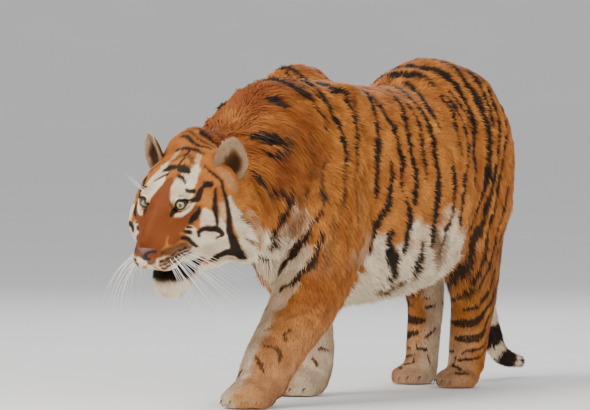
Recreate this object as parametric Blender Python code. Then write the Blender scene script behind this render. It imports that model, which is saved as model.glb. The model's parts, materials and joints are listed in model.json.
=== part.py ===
"""A walking tiger at life size: one body of lofted rings and muscle masses, parted with thin cuts.

Metres, +Z up. The tiger faces -Y, so its left side is +X. It stands on four flat soles at Z = 0.
"""

import math
from dataclasses import dataclass

import bmesh
import bpy
import numpy as np
from mathutils import Matrix, Vector

# Driving dimensions, in metres and degrees.
CUT_GAP = 0.0003
FLESH_VOXEL = 0.0075
FLESH_TRIANGLES = 3380
HEAD_KEEPS = 0.5
HEAD_PULL = 0.010
RING_SIDES = 36
RINGS_PER_SPAN = 7
SQUARENESS = 2.2
HEAD_AT = Vector((-0.035, -0.940, 0.562))
HEAD_PITCH = 20.0
HEAD_YAW = 2.0
HEAD_ROLL = 3.0
EYE_RADIUS = 0.0190
EYE_AT = Vector((0.0565, -0.0785, 0.036))
NOSE_AT = Vector((0.0, -0.190, -0.065))
NOSE_RADII = Vector((0.031, 0.022, 0.023))
MOUTH_CORNER = Vector((0.0, -0.058, -0.125))
UPPER_LIP_RISE = -2.0
LOWER_LIP_RISE = -11.0
EAR_AT = Vector((0.119, 0.096, 0.099))
EAR_SIZE = Vector((0.045, 0.0085, 0.062))
EAR_CUP = 7.0
EAR_LEAN = 16.0
EAR_TURN = 30.0


@dataclass(frozen=True)
class Ring:
    """A cross-section: centre, half-width, and reach over (up or ahead) and under (down or behind)."""

    at: tuple
    wide: float
    over: float
    under: float


@dataclass(frozen=True)
class Mass:
    """A muscle, pad or tuft of long coat: an ellipsoid with its centre, radii and turn in degrees."""

    at: tuple
    radii: tuple
    turn: tuple = (0.0, 0.0, 0.0)


@dataclass(frozen=True)
class Region:
    """A node's name and its share of the body: within all of its planes, each a point and a normal."""

    name: str
    planes: tuple


TRUNK = (
    Ring((0.01, -0.535, 0.57), 0.070, 0.12, 0.11),
    Ring((0.01, -0.49, 0.59), 0.120, 0.20, 0.19),
    Ring((0.01, -0.43, 0.60), 0.165, 0.26, 0.265),
    Ring((0.0, -0.32, 0.60), 0.205, 0.30, 0.325),
    Ring((0.0, -0.15, 0.59), 0.225, 0.302, 0.33),
    Ring((0.0, 0.03, 0.58), 0.240, 0.307, 0.315),
    Ring((0.0, 0.19, 0.59), 0.235, 0.298, 0.295),
    Ring((0.0, 0.33, 0.63), 0.210, 0.325, 0.26),
    Ring((0.0, 0.45, 0.70), 0.185, 0.300, 0.22),
    Ring((0.0, 0.55, 0.75), 0.158, 0.225, 0.17),
    Ring((0.0, 0.61, 0.78), 0.122, 0.150, 0.12),
)
NECK = (
    Ring((-0.04, -0.90, 0.555), 0.130, 0.110, 0.12),
    Ring((-0.04, -0.80, 0.575), 0.160, 0.140, 0.15),
    Ring((-0.035, -0.68, 0.60), 0.178, 0.190, 0.175),
    Ring((-0.01, -0.55, 0.625), 0.174, 0.270, 0.205),
    Ring((0.0, -0.40, 0.64), 0.180, 0.275, 0.26),
    Ring((0.0, -0.28, 0.64), 0.150, 0.21, 0.22),
)
LEFT_FORELEG = (
    Ring((0.087, -0.735, 0.05), 0.070, 0.062, 0.068),
    Ring((0.093, -0.699, 0.120), 0.075, 0.067, 0.084),
    Ring((0.107, -0.638, 0.20), 0.080, 0.070, 0.104),
    Ring((0.124, -0.565, 0.30), 0.088, 0.078, 0.140),
    Ring((0.134, -0.503, 0.41), 0.094, 0.100, 0.165),
    Ring((0.138, -0.455, 0.54), 0.098, 0.130, 0.160),
    Ring((0.115, -0.355, 0.71), 0.070, 0.085, 0.110),
    Ring((0.095, -0.30, 0.81), 0.030, 0.045, 0.050),
)
RIGHT_FORELEG = (
    Ring((-0.09, -0.165, 0.05), 0.060, 0.056, 0.056),
    Ring((-0.09, -0.145, 0.115), 0.064, 0.062, 0.062),
    Ring((-0.098, -0.160, 0.21), 0.072, 0.072, 0.072),
    Ring((-0.112, -0.203, 0.32), 0.079, 0.084, 0.098),
    Ring((-0.125, -0.272, 0.42), 0.083, 0.106, 0.135),
    Ring((-0.135, -0.345, 0.56), 0.092, 0.120, 0.150),
    Ring((-0.105, -0.35, 0.76), 0.072, 0.095, 0.110),
    Ring((-0.075, -0.345, 0.89), 0.040, 0.060, 0.065),
)
LEFT_HINDLEG = (
    Ring((0.095, 0.420, 0.05), 0.054, 0.060, 0.054),
    Ring((0.095, 0.440, 0.15), 0.058, 0.074, 0.060),
    Ring((0.098, 0.462, 0.26), 0.066, 0.090, 0.076),
    Ring((0.110, 0.430, 0.36), 0.082, 0.122, 0.104),
    Ring((0.126, 0.375, 0.47), 0.098, 0.134, 0.178),
    Ring((0.130, 0.390, 0.60), 0.100, 0.165, 0.182),
    Ring((0.115, 0.415, 0.75), 0.100, 0.155, 0.165),
    Ring((0.075, 0.440, 0.90), 0.060, 0.085, 0.090),
)
RIGHT_HINDLEG = (
    Ring((-0.10, 0.495, 0.05), 0.050, 0.052, 0.052),
    Ring((-0.10, 0.510, 0.15), 0.051, 0.058, 0.058),
    Ring((-0.103, 0.525, 0.26), 0.058, 0.068, 0.070),
    Ring((-0.112, 0.480, 0.36), 0.074, 0.096, 0.092),
    Ring((-0.125, 0.400, 0.47), 0.094, 0.125, 0.160),
    Ring((-0.130, 0.400, 0.60), 0.100, 0.160, 0.180),
    Ring((-0.115, 0.415, 0.75), 0.100, 0.150, 0.165),
    Ring((-0.075, 0.440, 0.90), 0.060, 0.085, 0.090),
)
TAIL = (
    Ring((0.0, 0.560, 0.865), 0.070, 0.060, 0.080),
    Ring((0.0, 0.645, 0.805), 0.054, 0.052, 0.057),
    Ring((-0.004, 0.698, 0.660), 0.045, 0.045, 0.045),
    Ring((-0.018, 0.738, 0.500), 0.041, 0.041, 0.041),
    Ring((-0.045, 0.762, 0.350), 0.039, 0.039, 0.039),
    Ring((-0.052, 0.800, 0.210), 0.038, 0.038, 0.038),
    Ring((-0.048, 0.832, 0.125), 0.036, 0.036, 0.036),
    Ring((-0.034, 0.868, 0.068), 0.032, 0.032, 0.032),
    Ring((-0.007, 0.933, 0.046), 0.026, 0.026, 0.026),
)
# The head is laid out about its own centre, level and facing -Y, then turned into place.
SKULL = (
    Ring((0.0, -0.188, -0.080), 0.044, 0.034, 0.050),
    Ring((0.0, -0.165, -0.074), 0.056, 0.052, 0.056),
    Ring((0.0, -0.130, -0.063), 0.064, 0.062, 0.064),
    Ring((0.0, -0.095, -0.047), 0.082, 0.076, 0.078),
    Ring((0.0, -0.060, -0.030), 0.114, 0.094, 0.088),
    Ring((0.0, -0.010, -0.020), 0.146, 0.114, 0.098),
    Ring((0.0, 0.055, -0.012), 0.156, 0.132, 0.110),
    Ring((0.0, 0.115, -0.005), 0.147, 0.138, 0.110),
    Ring((0.0, 0.175, 0.0), 0.125, 0.120, 0.085),
)
BRIDGE = (
    Ring((0.0, -0.194, -0.055), 0.027, 0.030, 0.030),
    Ring((0.0, -0.172, -0.034), 0.028, 0.034, 0.030),
    Ring((0.0, -0.140, -0.014), 0.030, 0.036, 0.030),
    Ring((0.0, -0.105, 0.010), 0.034, 0.036, 0.030),
    Ring((0.0, -0.065, 0.034), 0.044, 0.036, 0.030),
    Ring((0.0, -0.020, 0.050), 0.060, 0.040, 0.030),
)
JAW = (
    Ring((0.0, -0.143, -0.184), 0.036, 0.034, 0.044),
    Ring((0.0, -0.118, -0.180), 0.053, 0.036, 0.062),
    Ring((0.0, -0.078, -0.158), 0.068, 0.042, 0.056),
    Ring((0.0, -0.020, -0.120), 0.090, 0.050, 0.068),
    Ring((0.0, 0.050, -0.095), 0.095, 0.050, 0.070),
)
HEAD_MASSES = (
    Mass((0.034, -0.152, -0.095), (0.037, 0.048, 0.038)),
    Mass((0.050, -0.052, 0.060), (0.034, 0.028, 0.018), (0, 0, 20)),
    Mass((0.098, -0.015, -0.045), (0.054, 0.085, 0.078)),
    Mass((0.060, -0.080, -0.084), (0.036, 0.050, 0.040)),
    Mass((0.115, 0.020, -0.060), (0.054, 0.080, 0.090)),
    Mass((0.122, 0.060, -0.072), (0.062, 0.085, 0.118), (0, -8, 0)),
    Mass((0.060, 0.030, -0.130), (0.070, 0.090, 0.060)),
)
EYE_DISH = Mass((0.0575, -0.1005, 0.036), (0.0275, 0.018, 0.0165), (0, -14, -24))
BODY_MASSES = (
    Mass((-0.080, -0.250, 0.848), (0.065, 0.190, 0.106)),
    Mass((0.100, -0.290, 0.790), (0.055, 0.110, 0.110)),
    Mass((-0.070, -0.800, 0.648), (0.100, 0.125, 0.132)),
    Mass((0.150, -0.400, 0.480), (0.070, 0.130, 0.130), (20, 0, 0)),
    Mass((-0.138, -0.275, 0.485), (0.058, 0.118, 0.128), (-15, 0, 0)),
)
FORE_PAW = Mass((0.0, 0.0, 0.042), (0.070, 0.080, 0.050))
HIND_PAW = Mass((0.0, 0.0, 0.036), (0.056, 0.072, 0.044))
TOE = Mass((0.0, 0.0, 0.027), (0.0225, 0.036, 0.032))
PAWS = (
    ("fore", (0.086, -0.765), 6.0),
    ("fore", (-0.090, -0.200), -6.0),
    ("hind", (0.097, 0.385), 6.0),
    ("hind", (-0.102, 0.480), -6.0),
)


def clear_scene():
    """Removes whatever the startup scene holds."""
    for obj in list(bpy.data.objects):
        bpy.data.objects.remove(obj)


def smooth_through(values, count):
    """Values at evenly spaced steps on a Catmull-Rom curve through the given rows."""
    rows = np.vstack([2 * values[0] - values[1], values, 2 * values[-1] - values[-2]])
    out = []
    for i in range(1, len(rows) - 2):
        before, start, end, after = rows[i - 1 : i + 3]
        for t in np.linspace(0, 1, count, endpoint=False):
            linear = (end - before) * t
            squared = (2 * before - 5 * start + 4 * end - after) * t**2
            cubed = (3 * start - before - 3 * end + after) * t**3
            out.append(start + 0.5 * (linear + squared + cubed))
    out.append(rows[-2])
    return np.array(out)


def add_loft(bm, rings, frame=None):
    """Adds a closed tube through the rings, with blunt ends, placed by the frame matrix."""
    frame = frame or Matrix.Identity(4)
    table = np.array([(*r.at, r.wide, r.over, r.under) for r in rings])
    table = smooth_through(table, RINGS_PER_SPAN)
    centres = table[:, :3]
    along = np.gradient(centres, axis=0)
    along /= np.linalg.norm(along, axis=1, keepdims=True)
    side = np.array([1.0, 0, 0]) - along * along[:, :1]
    side /= np.linalg.norm(side, axis=1, keepdims=True)
    over = np.cross(side, along)
    angles = np.arange(RING_SIDES) * 2 * math.pi / RING_SIDES
    across = np.sign(np.cos(angles)) * np.abs(np.cos(angles)) ** (2 / SQUARENESS)
    upward = np.sign(np.sin(angles)) * np.abs(np.sin(angles)) ** (2 / SQUARENESS)
    hoops = []
    for centre, s, o, row in zip(centres, side, over, table):
        reach = np.where(upward > 0, row[4], row[5])
        points = centre + np.outer(across * row[3], s) + np.outer(upward * reach, o)
        hoops.append([bm.verts.new(frame @ Vector(p)) for p in points])
    for near, far in zip(hoops, hoops[1:]):
        for i in range(RING_SIDES):
            j = (i + 1) % RING_SIDES
            bm.faces.new((near[i], far[i], far[j], near[j]))
    for hoop, centre, heading, row in (
        (hoops[0], centres[0], -along[0], table[0]),
        (hoops[-1], centres[-1], along[-1], table[-1]),
    ):
        tip = bm.verts.new(frame @ Vector(centre + heading * row[4:].min() * 0.45))
        for i in range(RING_SIDES):
            bm.faces.new((hoop[i], hoop[(i + 1) % RING_SIDES], tip))


def add_mass(bm, mass, frame=None):
    """Adds an ellipsoid, placed by the frame matrix."""
    frame = frame or Matrix.Identity(4)
    turn = Matrix.Identity(4)
    for axis, degrees in zip("XYZ", mass.turn):
        turn = Matrix.Rotation(math.radians(degrees), 4, axis) @ turn
    place = frame @ Matrix.Translation(mass.at) @ turn @ Matrix.Diagonal((*mass.radii, 1))
    bmesh.ops.create_uvsphere(bm, u_segments=32, v_segments=20, radius=1, matrix=place)


def mirrored(mass):
    """The same mass on the other side."""
    x, y, z = mass.at
    pitch, roll, yaw = mass.turn
    return Mass((-x, y, z), mass.radii, (pitch, -roll, -yaw))


def head_frame():
    """Where the head sits: turned a little to its right, rolled and nodding down."""
    yaw = Matrix.Rotation(math.radians(-HEAD_YAW), 4, "Z")
    pitch = Matrix.Rotation(math.radians(HEAD_PITCH), 4, "X")
    roll = Matrix.Rotation(math.radians(HEAD_ROLL), 4, "Y")
    return Matrix.Translation(HEAD_AT) @ yaw @ pitch @ roll


def add_paw(bm, kind, place, yaw):
    """A paw of one pad and four toes, sunk a little so that the floor cut leaves a flat sole."""
    pad = FORE_PAW if kind == "fore" else HIND_PAW
    frame = Matrix.Translation((*place, -0.004)) @ Matrix.Rotation(math.radians(yaw), 4, "Z")
    add_mass(bm, pad, frame)
    spread = pad.radii[0] * 0.26
    for number in (-3, -1, 1, 3):
        ahead = -pad.radii[1] * (0.84 if abs(number) == 1 else 0.60)
        toe_at = (number * spread, ahead, TOE.at[2])
        add_mass(bm, Mass(toe_at, TOE.radii, (0, 0, number * -4)), frame)


def raw_flesh():
    """Every loft and mass of the body in one mesh, still overlapping."""
    bm = bmesh.new()
    for rings in (TRUNK, NECK, LEFT_FORELEG, RIGHT_FORELEG, LEFT_HINDLEG, RIGHT_HINDLEG, TAIL):
        add_loft(bm, rings)
    for mass in BODY_MASSES:
        add_mass(bm, mass)
    for kind, place, yaw in PAWS:
        add_paw(bm, kind, place, yaw)
    frame = head_frame()
    for rings in (SKULL, BRIDGE, JAW):
        add_loft(bm, rings, frame)
    for mass in HEAD_MASSES:
        add_mass(bm, mass, frame)
        add_mass(bm, mirrored(mass), frame)
    bmesh.ops.recalc_face_normals(bm, faces=bm.faces)
    mesh = bpy.data.meshes.new("raw_flesh")
    bm.to_mesh(mesh)
    bm.free()
    return mesh


def add_object(name, mesh):
    """A new object in the scene."""
    obj = bpy.data.objects.new(name, mesh)
    bpy.context.scene.collection.objects.link(obj)
    return obj


def apply_modifiers(obj):
    """Gives the object the mesh that its modifiers make, and removes them."""
    bpy.context.view_layer.update()
    graph = bpy.context.evaluated_depsgraph_get()
    obj.data = bpy.data.meshes.new_from_object(obj.evaluated_get(graph))
    obj.modifiers.clear()


def soften(mesh, rounds_for):
    """Relaxes each point towards its neighbours' middle, for the rounds that rounds_for gives there."""
    count = len(mesh.vertices)
    points = np.empty(count * 3)
    mesh.vertices.foreach_get("co", points)
    points = points.reshape(-1, 3)
    edges = np.empty(len(mesh.edges) * 2, dtype=int)
    mesh.edges.foreach_get("vertices", edges)
    edges = edges.reshape(-1, 2)
    degree = np.bincount(edges.ravel(), minlength=count)[:, None]
    rounds = rounds_for(points)
    for turn in range(int(rounds.max())):
        total = np.zeros_like(points)
        for axis in range(3):
            total[:, axis] = np.bincount(edges[:, 0], points[edges[:, 1], axis], count)
            total[:, axis] += np.bincount(edges[:, 1], points[edges[:, 0], axis], count)
        share = 0.5 * np.clip(rounds - turn, 0, 1)[:, None]
        points += share * (total / degree - points)
    mesh.vertices.foreach_set("co", points.ravel())
    mesh.update()


def nearness(points, centre, near, far):
    """1 within the near distance of the centre, falling to 0 at the far one."""
    distance = np.linalg.norm(points - np.array(centre), axis=1)
    t = np.clip((far - distance) / (far - near), 0, 1)
    return t * t * (3 - 2 * t)


def rounds_over_body(points):
    """Few smoothing rounds on the head and paws, more on the trunk and its joints."""
    head = nearness(points, HEAD_AT, 0.20, 0.30)
    paws = np.clip((0.16 - points[:, 2]) / 0.08, 0, 1)
    tail = np.clip((points[:, 1] - 0.60) / 0.06, 0, 1)
    fine = np.maximum(np.maximum(head, paws), tail)
    return 26 - 19 * fine


def whole_body():
    """The body as one closed, smoothed and thinned-out mesh with flat soles."""
    obj = add_object("whole_body", raw_flesh())
    fuse = obj.modifiers.new("fuse", "REMESH")
    fuse.mode = "VOXEL"
    fuse.voxel_size = FLESH_VOXEL
    apply_modifiers(obj)
    soften(obj.data, rounds_over_body)
    points = np.empty(len(obj.data.vertices) * 3)
    obj.data.vertices.foreach_get("co", points)
    detail = nearness(points.reshape(-1, 3), HEAD_AT, 0.20, 0.30)
    group = obj.vertex_groups.new(name="thin_out")
    for index, amount in enumerate(detail):
        group.add([index], 1 - (1 - HEAD_KEEPS) * float(amount), "REPLACE")
    obj.data.calc_loop_triangles()
    thin = obj.modifiers.new("thin", "DECIMATE")
    thin.ratio = FLESH_TRIANGLES / len(obj.data.loop_triangles)
    thin.vertex_group = group.name
    thin.vertex_group_factor = HEAD_PULL
    apply_modifiers(obj)
    obj.vertex_groups.clear()
    return obj


def block(name, planes, shift):
    """A large block cut down to the inside of every plane, each pushed outwards by shift."""
    bm = bmesh.new()
    bmesh.ops.create_cube(bm, size=8)
    for point, normal in planes:
        normal = Vector(normal).normalized()
        whole = list(bm.verts) + list(bm.edges) + list(bm.faces)
        cut = bmesh.ops.bisect_plane(
            bm,
            geom=whole,
            plane_co=Vector(point) + normal * shift,
            plane_no=normal,
            clear_outer=True,
        )
        rim = [item for item in cut["geom_cut"] if isinstance(item, bmesh.types.BMEdge)]
        bmesh.ops.edgeloop_fill(bm, edges=rim)
    bmesh.ops.recalc_face_normals(bm, faces=bm.faces)
    mesh = bpy.data.meshes.new(name)
    bm.to_mesh(mesh)
    bm.free()
    cutter = add_object(name, mesh)
    cutter.hide_render = True
    cutter.display_type = "WIRE"
    return cutter


def combine(obj, other, operation):
    """Cuts the object with the other one, or keeps what they share."""
    cut = obj.modifiers.new("cut", "BOOLEAN")
    cut.operation = operation
    cut.solver = "EXACT"
    cut.object = other
    apply_modifiers(obj)


def discard(obj):
    """Removes a helper object."""
    bpy.data.objects.remove(obj)


def part_off(obj, region):
    """Cuts the region out of the object as a new object, with the cut's gap between them."""
    piece = add_object(region.name, obj.data.copy())
    inside = block(region.name + "_inside", region.planes, -CUT_GAP / 2)
    outside = block(region.name + "_outside", region.planes, CUT_GAP / 2)
    combine(piece, inside, "INTERSECT")
    combine(obj, outside, "DIFFERENCE")
    discard(inside)
    discard(outside)
    return piece


def leg_regions():
    """The lengths of each leg, from the paw up."""
    regions = []
    up = (0, 0, 1)
    forelegs = (
        ("foreleg_left", 1, 0.095, (0.118, -0.560, 0.320), (0.13, 0.50, 0.85), -0.84, -0.42),
        ("foreleg_right", -1, 0.090, (-0.105, -0.180, 0.245), (0, 0, 1), -0.42, 0.02),
    )
    for name, side, wrist, elbow, slope, front, back in forelegs:
        walls = (((-0.02 * side, 0, 0), (-side, 0, 0)), ((0, back, 0), (0, 1, 0)))
        toes = ((0, -1.05, 0), (0, -1, 0))
        shin = ((0, front, 0), (0, -1, 0))
        regions.append(Region(name + "_paw", (((0, 0, wrist), up), toes, *walls)))
        regions.append(Region(name + "_forearm", ((elbow, slope), ((0, 0, 0.37), up), shin, *walls)))
    for name, side, knee in (("hindleg_left", 1, 0.400), ("hindleg_right", -1, 0.440)):
        walls = (((0.001 * side, 0, 0), (-side, 0, 0)), ((0, 0.64, 0), (0, 1, 0)))
        toes = ((0, 0.26, 0), (0, -1, 0))
        shin = ((0, 0.31, 0), (0, -1, 0))
        regions.append(Region(name + "_foot", (((0, knee + 0.06, 0.235), (0, 0.2, 1)), toes, *walls)))
        regions.append(Region(name + "_shank", (((0, knee, 0.395), (0, -0.48, 0.87)), shin, *walls)))
    return regions


def upper_leg_regions():
    """The top of each leg, cut out of the trunk's side by a plane that leans outwards as it rises."""
    regions = []
    spans = (
        ("foreleg_left_upper", 1, -0.655, -0.30, 0.66, 0.27),
        ("foreleg_right_upper", -1, -0.50, -0.13, 0.66, 0.25),
        ("hindleg_left_thigh", 1, 0.24, 0.64, 0.68, 0.34),
        ("hindleg_right_thigh", -1, 0.24, 0.64, 0.68, 0.34),
    )
    for name, side, front, back, top, foot in spans:
        inner = ((0.012 * side, 0, foot), (-side, 0, 0.42))
        fore = ((0, front, 0.4), (0, -1, 0))
        rear = ((0, back, 0.4), (0, 1, 0))
        roof = ((0, 0, top), (0, 0, 1))
        regions.append(Region(name, (inner, fore, rear, roof)))
    return regions


def tail_regions():
    """The tail's lengths, from its tip up."""
    away = ((0, 0.62, 0), (0, -1, 0))
    return [
        Region("tail_tip", (((0, 0, 0.220), (0, 0, 1)), away)),
        Region("tail_middle", (((0, 0, 0.560), (0, 0, 1)), away)),
        Region("tail_base", (((0, 0.615, 0.83), (0, -0.85, 0.52)), ((0, 0.605, 0), (0, -1, 0)))),
    ]


def trunk_regions():
    """The head, the neck and the trunk's lengths. What is left is the chest."""
    frame = head_frame()
    nape = (frame @ Vector((0, 0.132, 0)), (0, 0.985, 0.17))
    throat = ((0, 0, 0.20), (0, 0, -1))
    return [
        Region("head", (nape, throat)),
        Region("neck", (((0, -0.555, 0.60), (0, 0.93, -0.36)), throat)),
        Region("rump", (((0, 0.335, 0.60), (0, -0.97, 0.24)),)),
        Region("abdomen", (((0, -0.10, 0.50), (0, -0.99, 0.12)),)),
    ]


def lip_plane(rise, way):
    """The plane from the corners of the mouth forwards, rising by an angle. It faces up or down."""
    frame = head_frame()
    turn = Matrix.Rotation(math.radians(-rise), 3, "X")
    return frame @ MOUTH_CORNER, frame.to_3x3() @ turn @ Vector((0, 0, way))


def ear(side):
    """An ear: a cupped round blade, thick at its root and thin at its rim."""
    bm = bmesh.new()
    spokes, hoops = 16, 3
    rows = {1: [], -1: []}
    for face in (1, -1):
        for ring in range(1, hoops + 1):
            if ring == hoops and face == -1:
                rows[face].append(rows[1][-1])
                continue
            row = []
            for spoke in range(spokes):
                angle = 2 * math.pi * spoke / spokes
                reach = ring / hoops
                x = EAR_SIZE.x * reach * math.cos(angle)
                z = EAR_SIZE.z * reach * math.sin(angle)
                x *= 1 - 1.6 * z
                thick = EAR_SIZE.y * (1 - reach**4) ** 0.5 * (1 - 5 * z)
                y = face * thick - EAR_CUP * (x * x + 0.25 * z * z)
                row.append(bm.verts.new((x, y, z)))
            rows[face].append(row)
        centre = bm.verts.new((0, face * EAR_SIZE.y, 0))
        for spoke in range(spokes):
            after = (spoke + 1) % spokes
            bm.faces.new((centre, rows[face][0][spoke], rows[face][0][after]))
            for inner, outer in zip(rows[face], rows[face][1:]):
                bm.faces.new((inner[spoke], outer[spoke], outer[after], inner[after]))
    bmesh.ops.recalc_face_normals(bm, faces=bm.faces)
    lean = Matrix.Rotation(math.radians(EAR_LEAN * side), 4, "Y")
    turn = Matrix.Rotation(math.radians(EAR_TURN * side), 4, "Z")
    place = head_frame() @ Matrix.Translation((EAR_AT.x * side, EAR_AT.y, EAR_AT.z)) @ turn @ lean
    bmesh.ops.transform(bm, matrix=place, verts=bm.verts)
    mesh = bpy.data.meshes.new("ear")
    bm.to_mesh(mesh)
    bm.free()
    return mesh


def ball(name, at, radii, frame, segments=12):
    """An ellipsoid as an object of its own."""
    bm = bmesh.new()
    place = frame @ Matrix.Translation(at) @ Matrix.Diagonal((*radii, 1))
    rings = segments * 2 // 3
    bmesh.ops.create_uvsphere(bm, u_segments=segments, v_segments=rings, radius=1, matrix=place)
    mesh = bpy.data.meshes.new(name)
    bm.to_mesh(mesh)
    bm.free()
    return add_object(name, mesh)


def helper_mass(name, mass, frame):
    """An ellipsoid as a helper object."""
    bm = bmesh.new()
    add_mass(bm, mass, frame)
    mesh = bpy.data.meshes.new(name)
    bm.to_mesh(mesh)
    bm.free()
    helper = add_object(name, mesh)
    helper.hide_render = True
    helper.display_type = "WIRE"
    return helper


def grown(obj, amount):
    """A helper copy of the object, every point moved out along its normal."""
    copy = add_object(obj.name + "_grown", obj.data.copy())
    for vertex, normal in zip(copy.data.vertices, [v.normal.copy() for v in obj.data.vertices]):
        vertex.co += normal * amount
    copy.hide_render = True
    copy.display_type = "WIRE"
    return copy


def make_room(obj, guest):
    """Cuts a seat for the guest out of the object, with the cut's gap around it."""
    seat = grown(guest, CUT_GAP)
    combine(obj, seat, "DIFFERENCE")
    discard(seat)


def finish_head(head):
    """Opens the mouth, parts the jaw off and sets in the nose, ears and eyes."""
    frame = head_frame()
    lips = block("mouth_opening", (lip_plane(UPPER_LIP_RISE, 1), lip_plane(LOWER_LIP_RISE, -1)), 0)
    combine(head, lips, "DIFFERENCE")
    discard(lips)
    middle = (UPPER_LIP_RISE + LOWER_LIP_RISE) / 2
    hinge = (frame @ (MOUTH_CORNER + Vector((0, 0.055, 0))), frame.to_3x3() @ Vector((0, 1, 0.25)))
    axes = frame.to_3x3()
    sides = [(frame @ Vector((0.078 * way, 0, 0)), axes @ Vector((way, 0, 0))) for way in (1, -1)]
    jaw = part_off(head, Region("jaw", (lip_plane(middle, 1), hinge, *sides)))
    pieces = [head, jaw]
    nose = ball("nose", NOSE_AT, NOSE_RADII, frame)
    make_room(head, nose)
    pieces.append(nose)
    for name, side in (("left", 1), ("right", -1)):
        at = Vector((EYE_AT.x * side, EYE_AT.y, EYE_AT.z))
        dish = helper_mass("eye_dish", EYE_DISH if side > 0 else mirrored(EYE_DISH), frame)
        combine(head, dish, "DIFFERENCE")
        discard(dish)
        eye = ball("eye_" + name, at, (EYE_RADIUS,) * 3, frame)
        make_room(head, eye)
        pieces.append(eye)
    for name, side in (("left", 1), ("right", -1)):
        flap = add_object("ear_" + name, ear(side))
        make_room(flap, head)
        pieces.append(flap)
    return pieces


FINISHES = {
    "coat": ((0.53, 0.20, 0.05), 0.85),
    "pale": ((0.75, 0.66, 0.50), 0.85),
    "nose": ((0.30, 0.11, 0.08), 0.45),
    "eye": ((0.40, 0.36, 0.11), 0.08),
}


def material(kind):
    """The kind's Principled material, made once."""
    found = bpy.data.materials.get(kind)
    if found:
        return found
    colour, roughness = FINISHES[kind]
    made = bpy.data.materials.new(kind)
    made.use_nodes = True
    shader = made.node_tree.nodes["Principled BSDF"]
    shader.inputs["Base Color"].default_value = (*colour, 1)
    shader.inputs["Roughness"].default_value = roughness
    shader.inputs["Metallic"].default_value = 0
    return made


def finish_piece(obj):
    """Gives a finished piece its material and its smooth shading."""
    first_word = obj.name.split("_")[0]
    kind = {"nose": "nose", "eye": "eye", "jaw": "pale"}.get(first_word, "coat")
    obj.data.materials.clear()
    obj.data.materials.append(material(kind))
    obj.data.shade_smooth()
    obj.data.set_sharp_from_angle(angle=math.radians(50))


def centre_on_origin(pieces):
    """Moves everything so that the box round it stands centred on the origin."""
    points = np.vstack([[v.co[:] for v in obj.data.vertices] for obj in pieces])
    low, high = points.min(axis=0), points.max(axis=0)
    middle = Vector(((low[0] + high[0]) / 2, (low[1] + high[1]) / 2, low[2]))
    for obj in pieces:
        obj.data.transform(Matrix.Translation(-middle))


def main():
    """Builds the tiger."""
    clear_scene()
    body = whole_body()
    above_floor = block("above_floor", (((0, 0, 0), (0, 0, -1)),), 0)
    combine(body, above_floor, "INTERSECT")
    discard(above_floor)
    pieces = []
    for region in leg_regions() + tail_regions() + upper_leg_regions() + trunk_regions():
        pieces.append(part_off(body, region))
    body.name = "chest"
    pieces.append(body)
    pieces += finish_head(bpy.data.objects["head"])[1:]
    centre_on_origin(pieces)
    for obj in pieces:
        finish_piece(obj)


if __name__ == "__main__":
    main()
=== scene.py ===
"""The looks of a standing tiger: its skin, coat, eyes, nose, mouth, whiskers, claws and a plain studio."""

import json
import logging
import math
from collections.abc import Callable, Iterator, Sequence
from contextlib import contextmanager
from dataclasses import dataclass, field
from enum import Enum

import bpy
import numpy as np
from mathutils import Matrix, Vector
from mathutils.bvhtree import BVHTree

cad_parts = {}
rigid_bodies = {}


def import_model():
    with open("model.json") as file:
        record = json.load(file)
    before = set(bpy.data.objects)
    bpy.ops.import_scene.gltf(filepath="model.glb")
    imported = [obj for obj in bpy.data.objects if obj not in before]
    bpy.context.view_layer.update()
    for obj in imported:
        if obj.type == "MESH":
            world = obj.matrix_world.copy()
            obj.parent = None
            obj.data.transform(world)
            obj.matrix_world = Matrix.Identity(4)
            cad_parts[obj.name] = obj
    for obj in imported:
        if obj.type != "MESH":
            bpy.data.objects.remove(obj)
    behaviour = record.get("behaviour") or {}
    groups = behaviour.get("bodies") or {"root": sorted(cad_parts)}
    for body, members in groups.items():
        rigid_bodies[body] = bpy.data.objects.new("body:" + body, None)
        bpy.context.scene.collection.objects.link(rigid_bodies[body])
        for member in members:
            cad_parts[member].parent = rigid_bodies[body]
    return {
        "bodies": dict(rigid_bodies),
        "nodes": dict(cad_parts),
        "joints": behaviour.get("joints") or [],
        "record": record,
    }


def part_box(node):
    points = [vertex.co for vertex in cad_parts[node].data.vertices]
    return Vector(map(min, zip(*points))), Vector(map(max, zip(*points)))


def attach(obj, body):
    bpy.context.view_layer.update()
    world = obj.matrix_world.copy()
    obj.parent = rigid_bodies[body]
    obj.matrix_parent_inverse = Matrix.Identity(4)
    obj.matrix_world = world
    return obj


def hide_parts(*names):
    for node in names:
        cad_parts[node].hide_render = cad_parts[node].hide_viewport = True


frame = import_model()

LOG = logging.getLogger("tiger")
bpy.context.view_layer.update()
BODY = "root"

Array = np.ndarray
Triple = tuple[float, float, float]


class Ink(Enum):
    """What a mark puts on the coat. ORANGE is the ground colour, so it clears the others."""

    ORANGE = -1
    BLACK = 0
    WHITE = 1
    RUST = 2


class Area(Enum):
    """The charts on which the marks are drawn."""

    TRUNK = 0
    HEAD = 1
    TAIL = 2
    FORE_LEFT = 3
    FORE_RIGHT = 4
    HIND_LEFT = 5
    HIND_RIGHT = 6


# -------- small maths


def unit(vectors: Array) -> Array:
    """Vectors scaled to length one, along the last axis."""
    return vectors / np.maximum(np.linalg.norm(vectors, axis=-1, keepdims=True), 1e-9)


def direction(azimuth: float, elevation: float) -> Array:
    """The direction at these degrees to the left of -Y and up from level."""
    az, el = math.radians(azimuth), math.radians(elevation)
    return np.array([math.sin(az) * math.cos(el), -math.cos(az) * math.cos(el), math.sin(el)])


def ramp(values: Array, start: float, end: float) -> Array:
    """A smooth step from 0 at start to 1 at end."""
    t = np.clip((values - start) / (end - start), 0, 1)
    return t * t * (3 - 2 * t)


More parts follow.
